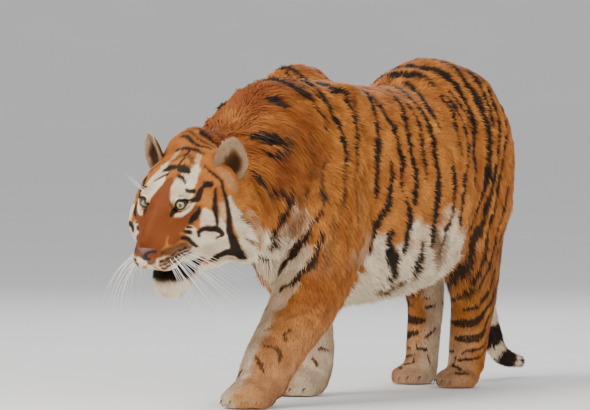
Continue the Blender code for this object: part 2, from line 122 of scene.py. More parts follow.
def ripple(points: Array, size: float, seed: int, waves: int = 10) -> Array:
    """A smooth random field of about unit height over space.

    Args:
        points: places, (n, 3).
        size: the width of its patches in metres.
        seed: picks the field.
        waves: how many waves it sums.

    Returns:
        One value for each place.
    """
    rng = np.random.default_rng(seed)
    way = unit(rng.normal(size=(waves, 3))) * rng.uniform(0.6, 1.6, (waves, 1))
    phase = rng.uniform(0, 2 * math.pi, waves)
    turns = points.astype(np.float32) @ (way.T * (2 * math.pi / (2 * size))).astype(np.float32)
    return np.sin(turns + phase.astype(np.float32)).sum(1) * math.sqrt(2 / waves)


def curve_through(rows: Sequence[Sequence[float]], steps: int) -> Array:
    """A Catmull-Rom curve through rows of numbers, with steps between each two.

    Args:
        rows: the rows it passes through.
        steps: how many points it has from one row to the next.

    Returns:
        The curve's rows.
    """
    table = np.array(rows, float)
    padded = np.vstack([2 * table[0] - table[1], table, 2 * table[-1] - table[-2]])
    out = []
    for i in range(len(table) - 1):
        a, b, c, d = padded[i : i + 4]
        square, cube = 2 * a - 5 * b + 4 * c - d, 3 * b - a - 3 * c + d
        for t in np.arange(steps) / steps:
            out.append(0.5 * (2 * b + (c - a) * t + square * t**2 + cube * t**3))
    out.append(table[-1])
    return np.array(out)


def linear(red: int, green: int, blue: int) -> tuple[float, float, float, float]:
    """A screen colour, 0 to 255 each, as the shader's linear colour."""
    parts = [c / 255 for c in (red, green, blue)]
    return (*(c / 12.92 if c < 0.04045 else ((c + 0.055) / 1.055) ** 2.4 for c in parts), 1.0)


# -------- the shader bench


class Wire:
    """A node's output that takes part in sums, each of which adds a Math node."""

    def __init__(self, bench: "Bench", socket: bpy.types.NodeSocket) -> None:
        """Keeps the socket and the bench that new nodes go on."""
        self.bench = bench
        self.socket = socket

    def _sum(self, kind: str, first: "Wire | float", second: "Wire | float") -> "Wire":
        """One Math node of that kind on two values."""
        return self.bench.node("ShaderNodeMath", {"operation": kind}, {0: first, 1: second})

    def __add__(self, other: "Wire | float") -> "Wire":
        """self + other."""
        return self._sum("ADD", self, other)

    def __radd__(self, other: float) -> "Wire":
        """other + self."""
        return self._sum("ADD", other, self)

    def __sub__(self, other: "Wire | float") -> "Wire":
        """self - other."""
        return self._sum("SUBTRACT", self, other)

    def __rsub__(self, other: float) -> "Wire":
        """other - self."""
        return self._sum("SUBTRACT", other, self)

    def __mul__(self, other: "Wire | float") -> "Wire":
        """self * other."""
        return self._sum("MULTIPLY", self, other)

    def __rmul__(self, other: float) -> "Wire":
        """other * self."""
        return self._sum("MULTIPLY", other, self)

    def clear(self, start: float, end: float) -> "Wire":
        """A smooth step from 0 at start to 1 at end."""
        settings = {"interpolation_type": "SMOOTHSTEP"}
        return self.bench.node("ShaderNodeMapRange", settings, {0: self, 1: start, 2: end})


class Bench:
    """A material and its node tree."""

    def __init__(self, name: str) -> None:
        """Starts an empty tree.

        Args:
            name: the finish's name.
        """
        self.material = bpy.data.materials.new(name)
        self.material.use_nodes = True
        self.tree = self.material.node_tree
        self.tree.nodes.clear()

    def node(
        self, kind: str, settings: dict | None = None, inputs: dict | None = None, output: int = 0
    ) -> Wire:
        """Adds one node.

        Args:
            kind: the node's type.
            settings: its own settings, set first; "stops" holds a ramp's (place, colour) pairs.
            inputs: values or wires by socket name or number.
            output: the number of the output that is handed back.

        Returns:
            That output.
        """
        made = self.tree.nodes.new(kind)
        for key, value in (settings or {}).items():
            if key == "stops":
                while len(made.color_ramp.elements) < len(value):
                    made.color_ramp.elements.new(0.5)
                for stop, (place, colour) in zip(made.color_ramp.elements, value):
                    stop.position = place
                    stop.color = colour
            else:
                setattr(made, key, value)
        for key, value in (inputs or {}).items():
            if isinstance(value, Wire):
                self.tree.links.new(value.socket, made.inputs[key])
            else:
                made.inputs[key].default_value = value
        return Wire(self, made.outputs[output]) if made.outputs else Wire(self, made.inputs[0])

    def attribute(self, name: str) -> Wire:
        """A number painted on the mesh."""
        return self.node("ShaderNodeAttribute", {"attribute_name": name}, output=2)

    def mix(
        self, factor: "Wire | float", low: "Wire | tuple", high: "Wire | tuple", blend: str = "MIX"
    ) -> Wire:
        """One colour over another."""
        settings = {"data_type": "RGBA", "blend_type": blend}
        return self.node("ShaderNodeMix", settings, {0: factor, 6: low, 7: high}, output=2)

    def noise(self, scale: float, detail: float = 2.0, stretch: Triple = (1, 1, 1)) -> Wire:
        """A noise on Object coordinates, squeezed along each axis by stretch.

        Args:
            scale: how fine it is.
            detail: how many finer layers it has.
            stretch: how much each axis is squeezed.

        Returns:
            The noise's value.
        """
        place = self.node("ShaderNodeTexCoord", output=3)
        if stretch != (1, 1, 1):
            place = self.node("ShaderNodeMapping", inputs={"Vector": place, "Scale": stretch})
        return self.node("ShaderNodeTexNoise", inputs={"Vector": place, "Scale": scale, "Detail": detail})

    def bump(self, height: Wire, strength: float, distance: float) -> Wire:
        """A bump that feeds Normal."""
        inputs = {"Height": height, "Strength": strength, "Distance": distance}
        return self.node("ShaderNodeBump", inputs=inputs)

    def finish(self, **inputs: "Wire | float | tuple") -> bpy.types.Material:
        """Closes the tree with a Principled shader.

        Args:
            inputs: its sockets by name, with _ for each space.

        Returns:
            The material.
        """
        named = {key.replace("_", " "): value for key, value in inputs.items()}
        shader = self.node("ShaderNodeBsdfPrincipled", inputs=named)
        self.node("ShaderNodeOutputMaterial", inputs={"Surface": shader})
        return self.material


@dataclass(frozen=True)
class Palette:
    """The colours of the animal."""

    orange: tuple = linear(222, 146, 64)
    deep_orange: tuple = linear(192, 108, 39)
    rust: tuple = linear(142, 70, 24)
    cream: tuple = linear(248, 234, 206)
    pale: tuple = linear(228, 202, 160)
    black: tuple = linear(26, 20, 17)
    brown_black: tuple = linear(58, 38, 25)


@dataclass(frozen=True)
class PeltFinish:
    """Fur: the painted marks over a ground that varies from lock to lock, with painted shade that darkens it
    towards the roots.
    """

    name: str
    colours: Palette = Palette()
    root_painted_shade: float = 0.42
    roughness: float = 0.62
    bump: float = 0.0

    def make(self) -> bpy.types.Material:
        """Builds the fur's nodes.

        Returns:
            The material.
        """
        bench = Bench(self.name)
        tint = bench.attribute("tint")
        patchy = bench.noise(9.0, 3.0)
        locks = (patchy * 0.7 + tint * 0.45).clear(0.25, 0.95)
        ground = bench.mix(locks, self.colours.deep_orange, self.colours.orange)
        ground = bench.mix(bench.attribute("rust"), ground, self.colours.rust)
        light = bench.mix(tint, self.colours.pale, self.colours.cream)
        ground = bench.mix(bench.attribute("white"), ground, light)
        dark = bench.mix(tint * bench.attribute("tip"), self.colours.black, self.colours.brown_black)
        ground = bench.mix(bench.attribute("black"), ground, dark)
        # Painted shade: the colour darkens from tip to root by the root shade, less on white, as if shaded
        # inside the coat.
        floor = self.root_painted_shade + bench.attribute("white") * 0.26
        depth = floor + bench.attribute("tip") * (1 - floor)
        depth = depth * (0.84 + tint * 0.32)
        shade = bench.node("ShaderNodeCombineColor", inputs={0: depth, 1: depth, 2: depth})
        ground = bench.mix(1.0, ground, shade, "MULTIPLY")
        inputs = {"Base_Color": ground, "Roughness": self.roughness, "Specular_IOR_Level": 0.20}
        if self.bump:
            fine = bench.noise(420.0, 2.0, (1.0, 0.35, 0.6))
            inputs["Normal"] = bench.bump(fine, self.bump, 0.002)
        return bench.finish(**inputs)


@dataclass(frozen=True)
class FloorFinish:
    """A matt pale studio floor."""

    name: str = "studio_floor"
    pale: tuple = linear(243, 242, 240)
    paler: tuple = linear(249, 248, 246)

    def make(self) -> bpy.types.Material:
        """Builds the floor's nodes.

        Returns:
            The material.
        """
        bench = Bench(self.name)
        colour = bench.mix(bench.noise(1.3), self.pale, self.paler)
        return bench.finish(Base_Color=colour, Roughness=0.85, Specular_IOR_Level=0.2)


MADE: dict[str, bpy.types.Material] = {}


def made(finish: "PeltFinish | EyeFinish | LeatherFinish | HornFinish") -> bpy.types.Material:
    """Looks a finish's material up, making it the first time.

    Args:
        finish: the finish.

    Returns:
        Its material.
    """
    if finish.name not in MADE:
        MADE[finish.name] = finish.make()
    return MADE[finish.name]


# -------- meshes as arrays


def deselect() -> None:
    """Leaves nothing selected, in object mode."""
    if bpy.context.mode != "OBJECT":
        bpy.ops.object.mode_set(mode="OBJECT")
    bpy.ops.object.select_all(action="DESELECT")


def activate(obj: bpy.types.Object) -> None:
    """Selects one object alone and makes it active.

    Args:
        obj: the object.
    """
    deselect()
    obj.select_set(True)
    bpy.context.view_layer.objects.active = obj


@contextmanager
def editing(obj: bpy.types.Object) -> Iterator[None]:
    """Edit mode on one object, all of it selected.

    Args:
        obj: the object.

    Returns:
        Nothing: the work is done inside a with block.
    """
    activate(obj)
    bpy.ops.object.mode_set(mode="EDIT")
    bpy.ops.mesh.select_all(action="SELECT")
    yield
    bpy.ops.object.mode_set(mode="OBJECT")


def apply_modifier(obj: bpy.types.Object, kind: str, **settings: object) -> None:
    """Adds a modifier with these settings and applies it.

    Args:
        obj: the object it goes on.
        kind: the modifier's type.
        settings: its settings by name.
    """
    activate(obj)
    modifier = obj.modifiers.new(kind.lower(), kind)
    for key, value in settings.items():
        setattr(modifier, key, value)
    bpy.ops.object.modifier_apply(modifier=modifier.name)


def points_of(mesh: bpy.types.Mesh) -> Array:
    """Reads the mesh's points.

    Args:
        mesh: the mesh.

    Returns:
        Its points, (n, 3).
    """
    flat = np.empty(len(mesh.vertices) * 3, np.float32)
    mesh.vertices.foreach_get("co", flat)
    return flat.reshape(-1, 3).astype(float)


def set_points(mesh: bpy.types.Mesh, points: Array) -> None:
    """Puts the mesh's points at new places."""
    mesh.vertices.foreach_set("co", points.astype(np.float32).ravel())
    mesh.update()


def faces_of(mesh: bpy.types.Mesh) -> Array:
    """Reads the mesh's triangles.

    Args:
        mesh: the mesh.

    Returns:
        The corners of each, (n, 3).
    """
    flat = np.empty(len(mesh.polygons) * 3, np.int32)
    mesh.polygons.foreach_get("vertices", flat)
    return flat.reshape(-1, 3)


def in_order(faces: Array) -> Array:
    """Sorts triangles by their corners, because a triangulated ball's come in another order each run.

    Args:
        faces: the corners of each triangle.

    Returns:
        The same triangles, each from its lowest corner on.
    """
    first = faces.argmin(1)[:, None]
    turned = np.take_along_axis(faces, (first + np.arange(3)) % 3, 1)
    return turned[np.lexsort(turned.T)]


def smooth(mesh: bpy.types.Mesh) -> None:
    """Shades the mesh smooth."""
    mesh.polygons.foreach_set("use_smooth", np.ones(len(mesh.polygons), bool))


def new_ball(name: str, segments: int, rings: int, radius: float = 1.0) -> bpy.types.Object:
    """A ball at the origin, to be shaped.

    Args:
        name: its name.
        segments: how many slices it has.
        rings: how many rings.
        radius: its radius.

    Returns:
        The ball.
    """
    deselect()
    bpy.ops.mesh.primitive_uv_sphere_add(segments=segments, ring_count=rings, radius=radius)
    obj = bpy.context.active_object
    obj.name = obj.data.name = name
    return obj


def edges_of(mesh: bpy.types.Mesh) -> Array:
    """Reads the mesh's edges.

    Args:
        mesh: the mesh.

    Returns:
        The ends of each, (n, 2).
    """
    flat = np.empty(len(mesh.edges) * 2, np.int32)
    mesh.edges.foreach_get("vertices", flat)
    return flat.reshape(-1, 2)


def normals_of(points: Array, faces: Array) -> Array:
    """Point normals of a triangle mesh, weighted by face area.

    Args:
        points: the points.
        faces: the corners of each triangle.

    Returns:
        A normal for each point.
    """
    corner = points[faces]
    cross = np.cross(corner[:, 1] - corner[:, 0], corner[:, 2] - corner[:, 0])
    out = np.zeros_like(points)
    for axis in range(3):
        for i in range(3):
            out[:, axis] += np.bincount(faces[:, i], cross[:, axis], len(points))
    return unit(out)


def spread(values: Array, edges: Array, rounds: int, hold: Array | float = 0.5) -> Array:
    """Evens values out over a mesh.

    Args:
        values: one row for each point.
        edges: the mesh's edges.
        rounds: how many times each point moves towards its neighbours' mean.
        hold: how far it moves, from 0 to 1, for all or for each point.

    Returns:
        The evened values.
    """
    many = np.maximum(np.bincount(edges.ravel(), minlength=len(values)), 1)[:, None]
    out = values.astype(float).reshape(len(values), -1)
    move = np.broadcast_to(np.asarray(hold, float).reshape(-1, 1), (len(out), 1))
    for _ in range(rounds):
        mean = np.empty_like(out)
        for axis in range(out.shape[1]):
            column = out[:, axis]
            mean[:, axis] = np.bincount(edges[:, 0], column[edges[:, 1]], len(out))
            mean[:, axis] += np.bincount(edges[:, 1], column[edges[:, 0]], len(out))
        out = out + (mean / many - out) * move
    return out.reshape(values.shape)


def new_object(name: str, points: Array, faces: Array) -> bpy.types.Object:
    """A mesh object of triangles, smooth shaded.

    Args:
        name: its name.
        points: its points.
        faces: the corners of each triangle.

    Returns:
        The object.
    """
    mesh = bpy.data.meshes.new(name)
    mesh.vertices.add(len(points))
    mesh.vertices.foreach_set("co", points.astype(np.float32).ravel())
    mesh.loops.add(faces.size)
    mesh.loops.foreach_set("vertex_index", faces.astype(np.int32).ravel())
    mesh.polygons.add(len(faces))
    mesh.polygons.foreach_set("loop_start", np.arange(0, faces.size, 3, dtype=np.int32))
    mesh.polygons.foreach_set("use_smooth", np.ones(len(faces), bool))
    mesh.update(calc_edges=True)
    obj = bpy.data.objects.new(name, mesh)
    bpy.context.scene.collection.objects.link(obj)
    return obj


def paint(mesh: bpy.types.Mesh, **values: Array) -> None:
    """Stores numbers on the mesh's points under their names.

    Args:
        mesh: the mesh.
        values: the numbers, one for each point.
    """
    for name, column in values.items():
        layer = mesh.attributes.new(name, "FLOAT", "POINT")
        layer.data.foreach_set("value", np.ascontiguousarray(column, np.float32))


def dress(obj: bpy.types.Object, material: bpy.types.Material, slot: str, *nodes: str) -> bpy.types.Object:
    """Finishes a piece for the model.

    Args:
        obj: the piece.
        material: its material.
        slot: its record slot, not used.
        nodes: the CAD nodes it stands for.

    Returns:
        The piece.
    """
    obj.data.materials.clear()
    obj.data.materials.append(material)
    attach(obj, BODY)
    if nodes:
        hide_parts(*nodes)
    LOG.info("%s: %d faces", obj.name, len(obj.data.polygons))
    return obj


# -------- the head's own frame


@dataclass(frozen=True)
class HeadFrame:
    """Where the head sits: x to its left, -y to its nose, z up."""

    at: Triple = (-0.0353, -0.8486, 0.562)
    pitch: float = 20.0
    yaw: float = 2.0
    roll: float = 3.0
    face_centre: Triple = (0.0, 0.060, -0.030)

    def matrix(self) -> Matrix:
        """From the head's frame to the model's.

        Returns:
            The matrix.
        """
        turn = Matrix.Rotation(math.radians(-self.yaw), 4, "Z")
        turn = turn @ Matrix.Rotation(math.radians(self.pitch), 4, "X")
        turn = turn @ Matrix.Rotation(math.radians(self.roll), 4, "Y")
        return Matrix.Translation(self.at) @ turn

    def inwards(self, points: Array) -> Array:
        """Places of the model's frame in the head's."""
        return (points - np.array(self.at)) @ np.array(self.matrix().to_3x3())

    def outwards(self, points: Array) -> Array:
        """Places of the head's frame in the model's."""
        return points @ np.array(self.matrix().to_3x3()).T + np.array(self.at)

    def turned(self, vectors: Array) -> Array:
        """Directions of the head's frame in the model's."""
        return vectors @ np.array(self.matrix().to_3x3()).T

    def face_map(self, local: Array) -> Array:
        """Reads the face's chart, as seen from inside the head.

        Args:
            local: places in the head's frame.

        Returns:
            Degrees to the nose's left and degrees up from it.
        """
        ray = local - np.array(self.face_centre)
        side = np.hypot(ray[:, 0], ray[:, 2])
        off = np.degrees(np.arctan2(side, -ray[:, 1]))
        return np.stack([ray[:, 0], ray[:, 2]], 1) / np.maximum(side, 1e-6)[:, None] * off[:, None]


HEAD = HeadFrame()

# -------- charts of the body


@dataclass(frozen=True)
class LegChart:
    """A leg as height and turn round its axis: 0 faces out, 90 back, 180 in and -90 forward."""

    side: int
    axis: tuple[Triple, ...]

    def read(self, points: Array) -> Array:
        """Reads the leg's chart.

        Args:
            points: the places.

        Returns:
            Height in cm and turn in degrees of each.
        """
        line = np.array(self.axis)
        x = np.interp(points[:, 2], line[:, 2], line[:, 0])
        y = np.interp(points[:, 2], line[:, 2], line[:, 1])
        turn = np.degrees(np.arctan2(points[:, 1] - y, (points[:, 0] - x) * self.side))
        return np.stack([points[:, 2] * 100, turn], 1)


LEGS = {
    Area.FORE_LEFT: LegChart(
        1,
        ((0.087, -0.660, 0.03), (0.092, -0.606, 0.12), (0.103, -0.546, 0.20), (0.118, -0.476, 0.30),
         (0.130, -0.411, 0.41), (0.138, -0.361, 0.54), (0.115, -0.261, 0.71)),
    ),
    Area.FORE_RIGHT: LegChart(
        -1,
        ((-0.090, -0.090, 0.03), (-0.090, -0.051, 0.12), (-0.098, -0.066, 0.21), (-0.115, -0.111, 0.32),
         (-0.130, -0.181, 0.42), (-0.135, -0.251, 0.56), (-0.105, -0.256, 0.76)),
    ),
    Area.HIND_LEFT: LegChart(
        1,
        ((0.095, 0.500, 0.03), (0.095, 0.533, 0.15), (0.098, 0.555, 0.26), (0.110, 0.523, 0.36),
         (0.125, 0.463, 0.47), (0.130, 0.483, 0.60), (0.115, 0.508, 0.75)),
    ),
    Area.HIND_RIGHT: LegChart(
        -1,
        ((-0.100, 0.580, 0.03), (-0.100, 0.603, 0.15), (-0.103, 0.618, 0.26), (-0.112, 0.573, 0.36),
         (-0.125, 0.493, 0.47), (-0.130, 0.493, 0.60), (-0.115, 0.508, 0.75)),
    ),
}
TRUNK_AXIS = (
    (-0.81, -0.040, 0.555), (-0.70, -0.038, 0.575), (-0.58, -0.030, 0.600), (-0.45, -0.010, 0.620),
    (-0.20, 0.000, 0.610), (0.10, 0.000, 0.585), (0.30, 0.000, 0.590), (0.45, 0.000, 0.650),
    (0.60, 0.000, 0.740), (0.72, 0.000, 0.790),
)
TAIL_AXIS = (
    (0.0, 0.651, 0.865), (0.0, 0.736, 0.805), (-0.004, 0.789, 0.660), (-0.018, 0.829, 0.500),
    (-0.045, 0.853, 0.350), (-0.052, 0.891, 0.210), (-0.048, 0.923, 0.125), (-0.034, 0.959, 0.068),
    (-0.007, 1.024, 0.046),
)


def read_trunk(points: Array) -> Array:
    """Reads the trunk's chart.

    Args:
        points: the places.

    Returns:
        Station in cm and turn in degrees from the spine, the left side being positive.
    """
    axis = np.array(TRUNK_AXIS)
    x = np.interp(points[:, 1], axis[:, 0], axis[:, 1])
    z = np.interp(points[:, 1], axis[:, 0], axis[:, 2])
    turn = np.degrees(np.arctan2(points[:, 0] - x, points[:, 2] - z))
    return np.stack([points[:, 1] * 100, turn], 1)


def read_tail(points: Array) -> tuple[Array, Array]:
    """Reads the tail's chart.

    Args:
        points: the places.

    Returns:
        Centimetres along the tail, as a chart, and the tail's direction at each place.
    """
    line = curve_through(TAIL_AXIS, 8)
    steps = np.linalg.norm(np.diff(line, axis=0), axis=1)
    along = np.concatenate([[0], np.cumsum(steps)])
    way = np.gradient(line, axis=0)
    nearest = np.empty(len(points), int)
    for start in range(0, len(points), 20000):
        part = points[start : start + 20000]
        nearest[start : start + 20000] = ((part[:, None] - line) ** 2).sum(2).argmin(1)
    here = unit(way[nearest])
    station = along[nearest] + ((points - line[nearest]) * here).sum(1)
    return np.stack([station * 100, np.zeros(len(points))], 1), here


def chart(area: Area, points: Array) -> Array:
    """The chart coordinates of places for one area.

    Args:
        area: the area.
        points: the places.

    Returns:
        Their coordinates, (n, 2).
    """
    if area is Area.TRUNK:
        return read_trunk(points)
    if area is Area.HEAD:
        return HEAD.face_map(HEAD.inwards(points))
    if area is Area.TAIL:
        return read_tail(points)[0]
    return LEGS[area].read(points)


# -------- the skin


@dataclass(frozen=True)
class Growth:
    """What grows on one named part: how deep the coat is, and how its tufts lie.

    Lengths are in metres, lift in degrees from the skin, and lie is the way of the hair in the model's frame.
    """

    depth: float
    length: float
    lift: float
    width: float
    lie: Triple


GROWTH = {
    "head": Growth(0.006, 0.012, 14, 0.0016, (0, 1, 0)),
    "jaw": Growth(0.005, 0.012, 16, 0.0016, (0, 0.3, -1)),
    "nose": Growth(0.002, 0.003, 8, 0.001, (0, 1, 0)),
    "neck": Growth(0.017, 0.055, 17, 0.0034, (0.0, 0.75, -0.55)),
    "chest": Growth(0.010, 0.032, 15, 0.0032, (0.0, 0.90, -0.42)),
    "abdomen": Growth(0.009, 0.028, 15, 0.0030, (0.0, 0.95, -0.30)),
    "rump": Growth(0.008, 0.025, 15, 0.0030, (0.0, 0.85, -0.50)),
    "tail_base": Growth(0.010, 0.028, 16, 0.0028, (0, 0.5, -1)),
    "tail_middle": Growth(0.008, 0.026, 16, 0.0028, (0, 0, -1)),
    "tail_tip": Growth(0.008, 0.026, 16, 0.0028, (0, 1, -0.5)),
    "upper": Growth(0.008, 0.025, 15, 0.0029, (0.0, 0.55, -0.85)),
    "thigh": Growth(0.008, 0.024, 15, 0.0029, (0.0, 0.45, -0.90)),
    "forearm": Growth(0.005, 0.016, 14, 0.0024, (0.0, 0.10, -1)),
    "shank": Growth(0.005, 0.016, 14, 0.0024, (0.0, 0.10, -1)),
    "foot": Growth(0.004, 0.011, 15, 0.0020, (0.0, -0.10, -1)),
    "paw": Growth(0.003, 0.010, 16, 0.0018, (0.0, -0.8, -0.6)),
}
EYE_RADIUS = 0.019
NOSE_TIP = (0.0, -0.200, -0.050)


@dataclass(frozen=True)
class EyeFrame:
    """One eye: where it is and which way it looks."""

    name: str
    side: int
    outward: float = 15.0
    upward: float = 9.0
    slant: float = 14.0
    half_width: float = 0.0165
    above: float = 0.0098
    below: float = 0.0108
    corner_drop: float = 0.0035
    narrows: float = 0.25
    look_left: float = 22.0
    look_up: float = 8.0

    def centre(self) -> Array:
        """The middle of the CAD's eyeball, in the head's frame."""
        low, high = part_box(f"eye_{self.name}")
        return HEAD.inwards(np.array([(low + high) / 2]))[0]

    def axes(self) -> tuple[Array, Array, Array]:
        """Works out the eye's own axes.

        Returns:
            To its outer corner, up, and along its gaze, in the head's frame.
        """
        gaze = direction(self.outward * self.side, self.upward)
        across = unit(np.cross(gaze, [0, 0, 1.0])) * -self.side
        rise = unit(np.cross(gaze, across)) * self.side
        tilt = math.radians(self.slant)
        out = across * math.cos(tilt) + rise * math.sin(tilt)
        return out, rise * math.cos(tilt) - across * math.sin(tilt), gaze

    def look(self) -> Array:
        """Works out the turned eyeball's axes.

        Returns:
            Rows sideways, up and along its gaze, in the head's frame.
        """
        gaze = direction(self.look_left, self.look_up)
        across = unit(np.cross([0, 0, 1.0], gaze))
        return np.stack([across, np.cross(gaze, across), gaze])

    def opening(self, local: Array) -> tuple[Array, Array, Array]:
        """How places lie to the lids' opening.

        Args:
            local: places in the head's frame.

        Returns:
            The opening's measure, 1 at its edge and less inside, the distance from the eye's middle,
            and the place along the gaze.
        """
        ray = local - self.centre()
        out, rise, gaze = self.axes()
        a, b, c = ray @ out, ray @ rise, ray @ gaze
        return self.measure(a, b), np.linalg.norm(ray, axis=1), c

    def measure(self, a: Array, b: Array) -> Array:
        """Measures the opening, an almond with its inner corner drawn down.

        Args:
            a: distances towards the outer corner.
            b: distances up.

        Returns:
            1 at the opening's edge and less inside.
        """
        inner = np.clip(-a / self.half_width, 0, 2)
        b = b + self.corner_drop * inner**2
        narrowing = 1 - self.narrows * np.clip(np.abs(a) / self.half_width, 0, 1.2) ** 2
        tall = np.where(b > 0, self.above, self.below) * narrowing
        return np.hypot(a / self.half_width, b / tall)


EYES = (EyeFrame("left", 1), EyeFrame("right", -1))


MOUTH_CORNER = (-0.058, -0.125)
LIP_FALL = (2.0, 11.0)


def mouth_cover(local: Array, flew: float = 1.0) -> Array:
    """How far places of the head lie in the mouth or on its black lips, 0 to 1.

    Args:
        local: places in the head's frame.
        flew: 1 with the black of the lower lip, 0 for the opening alone.

    Returns:
        The cover of each.
    """
    ahead = MOUTH_CORNER[0] - local[:, 1]
    upper = MOUTH_CORNER[1] - ahead * math.tan(math.radians(LIP_FALL[0]))
    lower = MOUTH_CORNER[1] - ahead * math.tan(math.radians(LIP_FALL[1]))
    drop = flew * (0.011 + 0.015 * ramp(ahead, 0.0, 0.035) * (1 - 0.72 * ramp(ahead, 0.045, 0.085)))
    within = ramp(upper - local[:, 2], -0.0035, 0.0005) * ramp(local[:, 2] - lower + drop, -0.0035, 0.0015)
    return within * ramp(ahead, -0.016, 0.002) * (1 - ramp(np.abs(local[:, 0]), 0.078, 0.092))


def growth_key(node: str) -> str:
    """The GROWTH entry of a CAD node."""
    return node if node in GROWTH else node.rsplit("_", 1)[-1]


@dataclass
class Skin:
    """One closed skin fused from the CAD's flesh, and all that the coat needs to know of it."""

    voxel: float = 0.0050
    body_share: float = 0.29
    swell: float = 0.001
    lid_thickness: float = 0.0014
    lid_fold: float = 0.0016
    socket_depth: float = 0.0035
    # The skin's finish paints shade over all of it, as at the roots of the coat.
    finish: PeltFinish = PeltFinish("pelt_skin", root_painted_shade=0.5, bump=0.35)
    points: Array = field(default_factory=lambda: np.zeros((0, 3)))
    outer: Array = field(default_factory=lambda: np.zeros((0, 3)))
    faces: Array = field(default_factory=lambda: np.zeros((0, 3), int))
    normals: Array = field(default_factory=lambda: np.zeros((0, 3)))
    label: Array = field(default_factory=lambda: np.zeros(0, int))
    names: list[str] = field(default_factory=list)
    fields: dict[str, Array] = field(default_factory=dict)
    piece: bpy.types.Object | None = None

    def flesh(self) -> list[str]:
        """The CAD nodes that the skin stands for, ears aside."""
        return sorted(n for n in frame["nodes"] if not n.startswith(("eye_", "ear_")))

    def fuse(self) -> bpy.types.Object:
        """Copies, swells and remeshes the flesh as one closed mesh.

        Returns:
            The closed mesh.
        """
        deselect()
        copies = []
        for name in self.flesh():
            node = frame["nodes"][name]
            copy = bpy.data.objects.new(f"copy_{name}", node.data.copy())
            bpy.context.scene.collection.objects.link(copy)
            copies.append(copy)
        for copy in copies:
            copy.select_set(True)
        bpy.context.view_layer.objects.active = copies[0]
        bpy.ops.object.join()
        skin = bpy.context.view_layer.objects.active
        skin.name = skin.data.name = "skin"
        with editing(skin):
            bpy.ops.mesh.remove_doubles(threshold=1e-5)
        apply_modifier(skin, "DISPLACE", strength=self.swell, mid_level=0.0)
        apply_modifier(skin, "REMESH", mode="VOXEL", voxel_size=self.voxel)
        return skin

    def even(self, skin: bpy.types.Object) -> None:
        """Evens out the facets, least on the head and paws.

        Args:
            skin: the fused skin.
        """
        points = points_of(skin.data)
        local = HEAD.inwards(points)
        face = 1 - ramp(local[:, 1], 0.02, 0.16)
        paw = 1 - ramp(points[:, 2], 0.03, 0.12)
        hold = 0.5 - 0.34 * face - 0.30 * paw * (1 - face)
        points = spread(points, edges_of(skin.data), 30, hold)
        set_points(skin.data, points)

    def thin(self, skin: bpy.types.Object) -> None:
        """Takes triangles from the body and leaves the face alone.

        Args:
            skin: the evened skin.
        """
        local = HEAD.inwards(points_of(skin.data))
        body = ramp(local[:, 1], 0.06, 0.20)
        group = skin.vertex_groups.new(name="body")
        for level in range(5):
            chosen = np.nonzero((body * 4).round() == level)[0]
            group.add(chosen.tolist(), level / 4, "REPLACE")
        apply_modifier(
            skin, "DECIMATE", ratio=self.body_share, use_collapse_triangulate=True,
            vertex_group="body", vertex_group_factor=0.01,
        )
        skin.vertex_groups.clear()

    def divide(self, skin: bpy.types.Object, chosen: Callable[[Array], Array]) -> None:
        """Cuts some faces into four, smoothly.

        Args:
            skin: the skin.
            chosen: picks faces by their middles in the head's frame.
        """
        mesh = skin.data
        activate(skin)
        bpy.ops.object.mode_set(mode="EDIT")
        bpy.ops.mesh.select_all(action="DESELECT")
        bpy.ops.mesh.select_mode(type="FACE")
        bpy.ops.object.mode_set(mode="OBJECT")
        centres = np.empty(len(mesh.polygons) * 3, np.float32)
        mesh.polygons.foreach_get("center", centres)
        mesh.polygons.foreach_set("select", chosen(HEAD.inwards(centres.reshape(-1, 3).astype(float))))
        bpy.ops.object.mode_set(mode="EDIT")
        bpy.ops.mesh.subdivide(number_cuts=1, smoothness=0.6)
        bpy.ops.mesh.select_all(action="SELECT")
        bpy.ops.mesh.quads_convert_to_tris()
        bpy.ops.object.mode_set(mode="OBJECT")

    def name_parts(self) -> None:
        """Finds the CAD node nearest to each point."""
        corners, tris, owner = [], [], []
        for i, name in enumerate(self.names):
            mesh = frame["nodes"][name].data
            start = sum(len(c) for c in corners)
            corners.append(points_of(mesh))
            mesh.calc_loop_triangles()
            flat = np.empty(len(mesh.loop_triangles) * 3, np.int32)
            mesh.loop_triangles.foreach_get("vertices", flat)
            tris.append(flat.reshape(-1, 3) + start)
            owner += [i] * len(mesh.loop_triangles)
        tree = BVHTree.FromPolygons(np.vstack(corners).tolist(), np.vstack(tris).tolist())
        self.label = np.array([owner[tree.find_nearest(Vector(p))[2]] for p in self.outer])

    def on_head(self) -> Array:
        """Which points lie on the head."""
        return np.isin(self.label, [self.names.index(n) for n in ("head", "jaw", "nose")])

    def lie_of_hair(self, local: Array, start: Array) -> Array:
        """The way of the hair at each point, the head's running from the nose and the tail's along it.

        Args:
            local: the points in the head's frame.
            start: the way of the hair on each point's own part.

        Returns:
            The way at each point.
        """
        lie = start.copy()
        away = unit(local - np.array(NOSE_TIP))
        cheek = ramp(np.abs(local[:, 0]), 0.05, 0.13) * ramp(-local[:, 2], -0.06, 0.05)
        away[:, 2] -= 0.55 * cheek
        chin = ramp(-local[:, 2], 0.10, 0.15) * (1 - ramp(local[:, 1], -0.06, 0.02))
        away = away * (1 - 0.7 * chin[:, None]) + np.array([0, 0.15, -1.0]) * chin[:, None]
        head = self.on_head()
        lie[head] = HEAD.turned(unit(away))[head]
        tail = np.isin(self.label, [i for i, n in enumerate(self.names) if n.startswith("tail")])
        if tail.any():
            lie[tail] = read_tail(self.outer[tail])[1]
        belly = (self.normals[:, 2] < -0.6) & (np.abs(self.outer[:, 1]) < 0.6) & (self.outer[:, 2] > 0.2)
        lie[belly] = (0, 1, 0.0)
        return lie

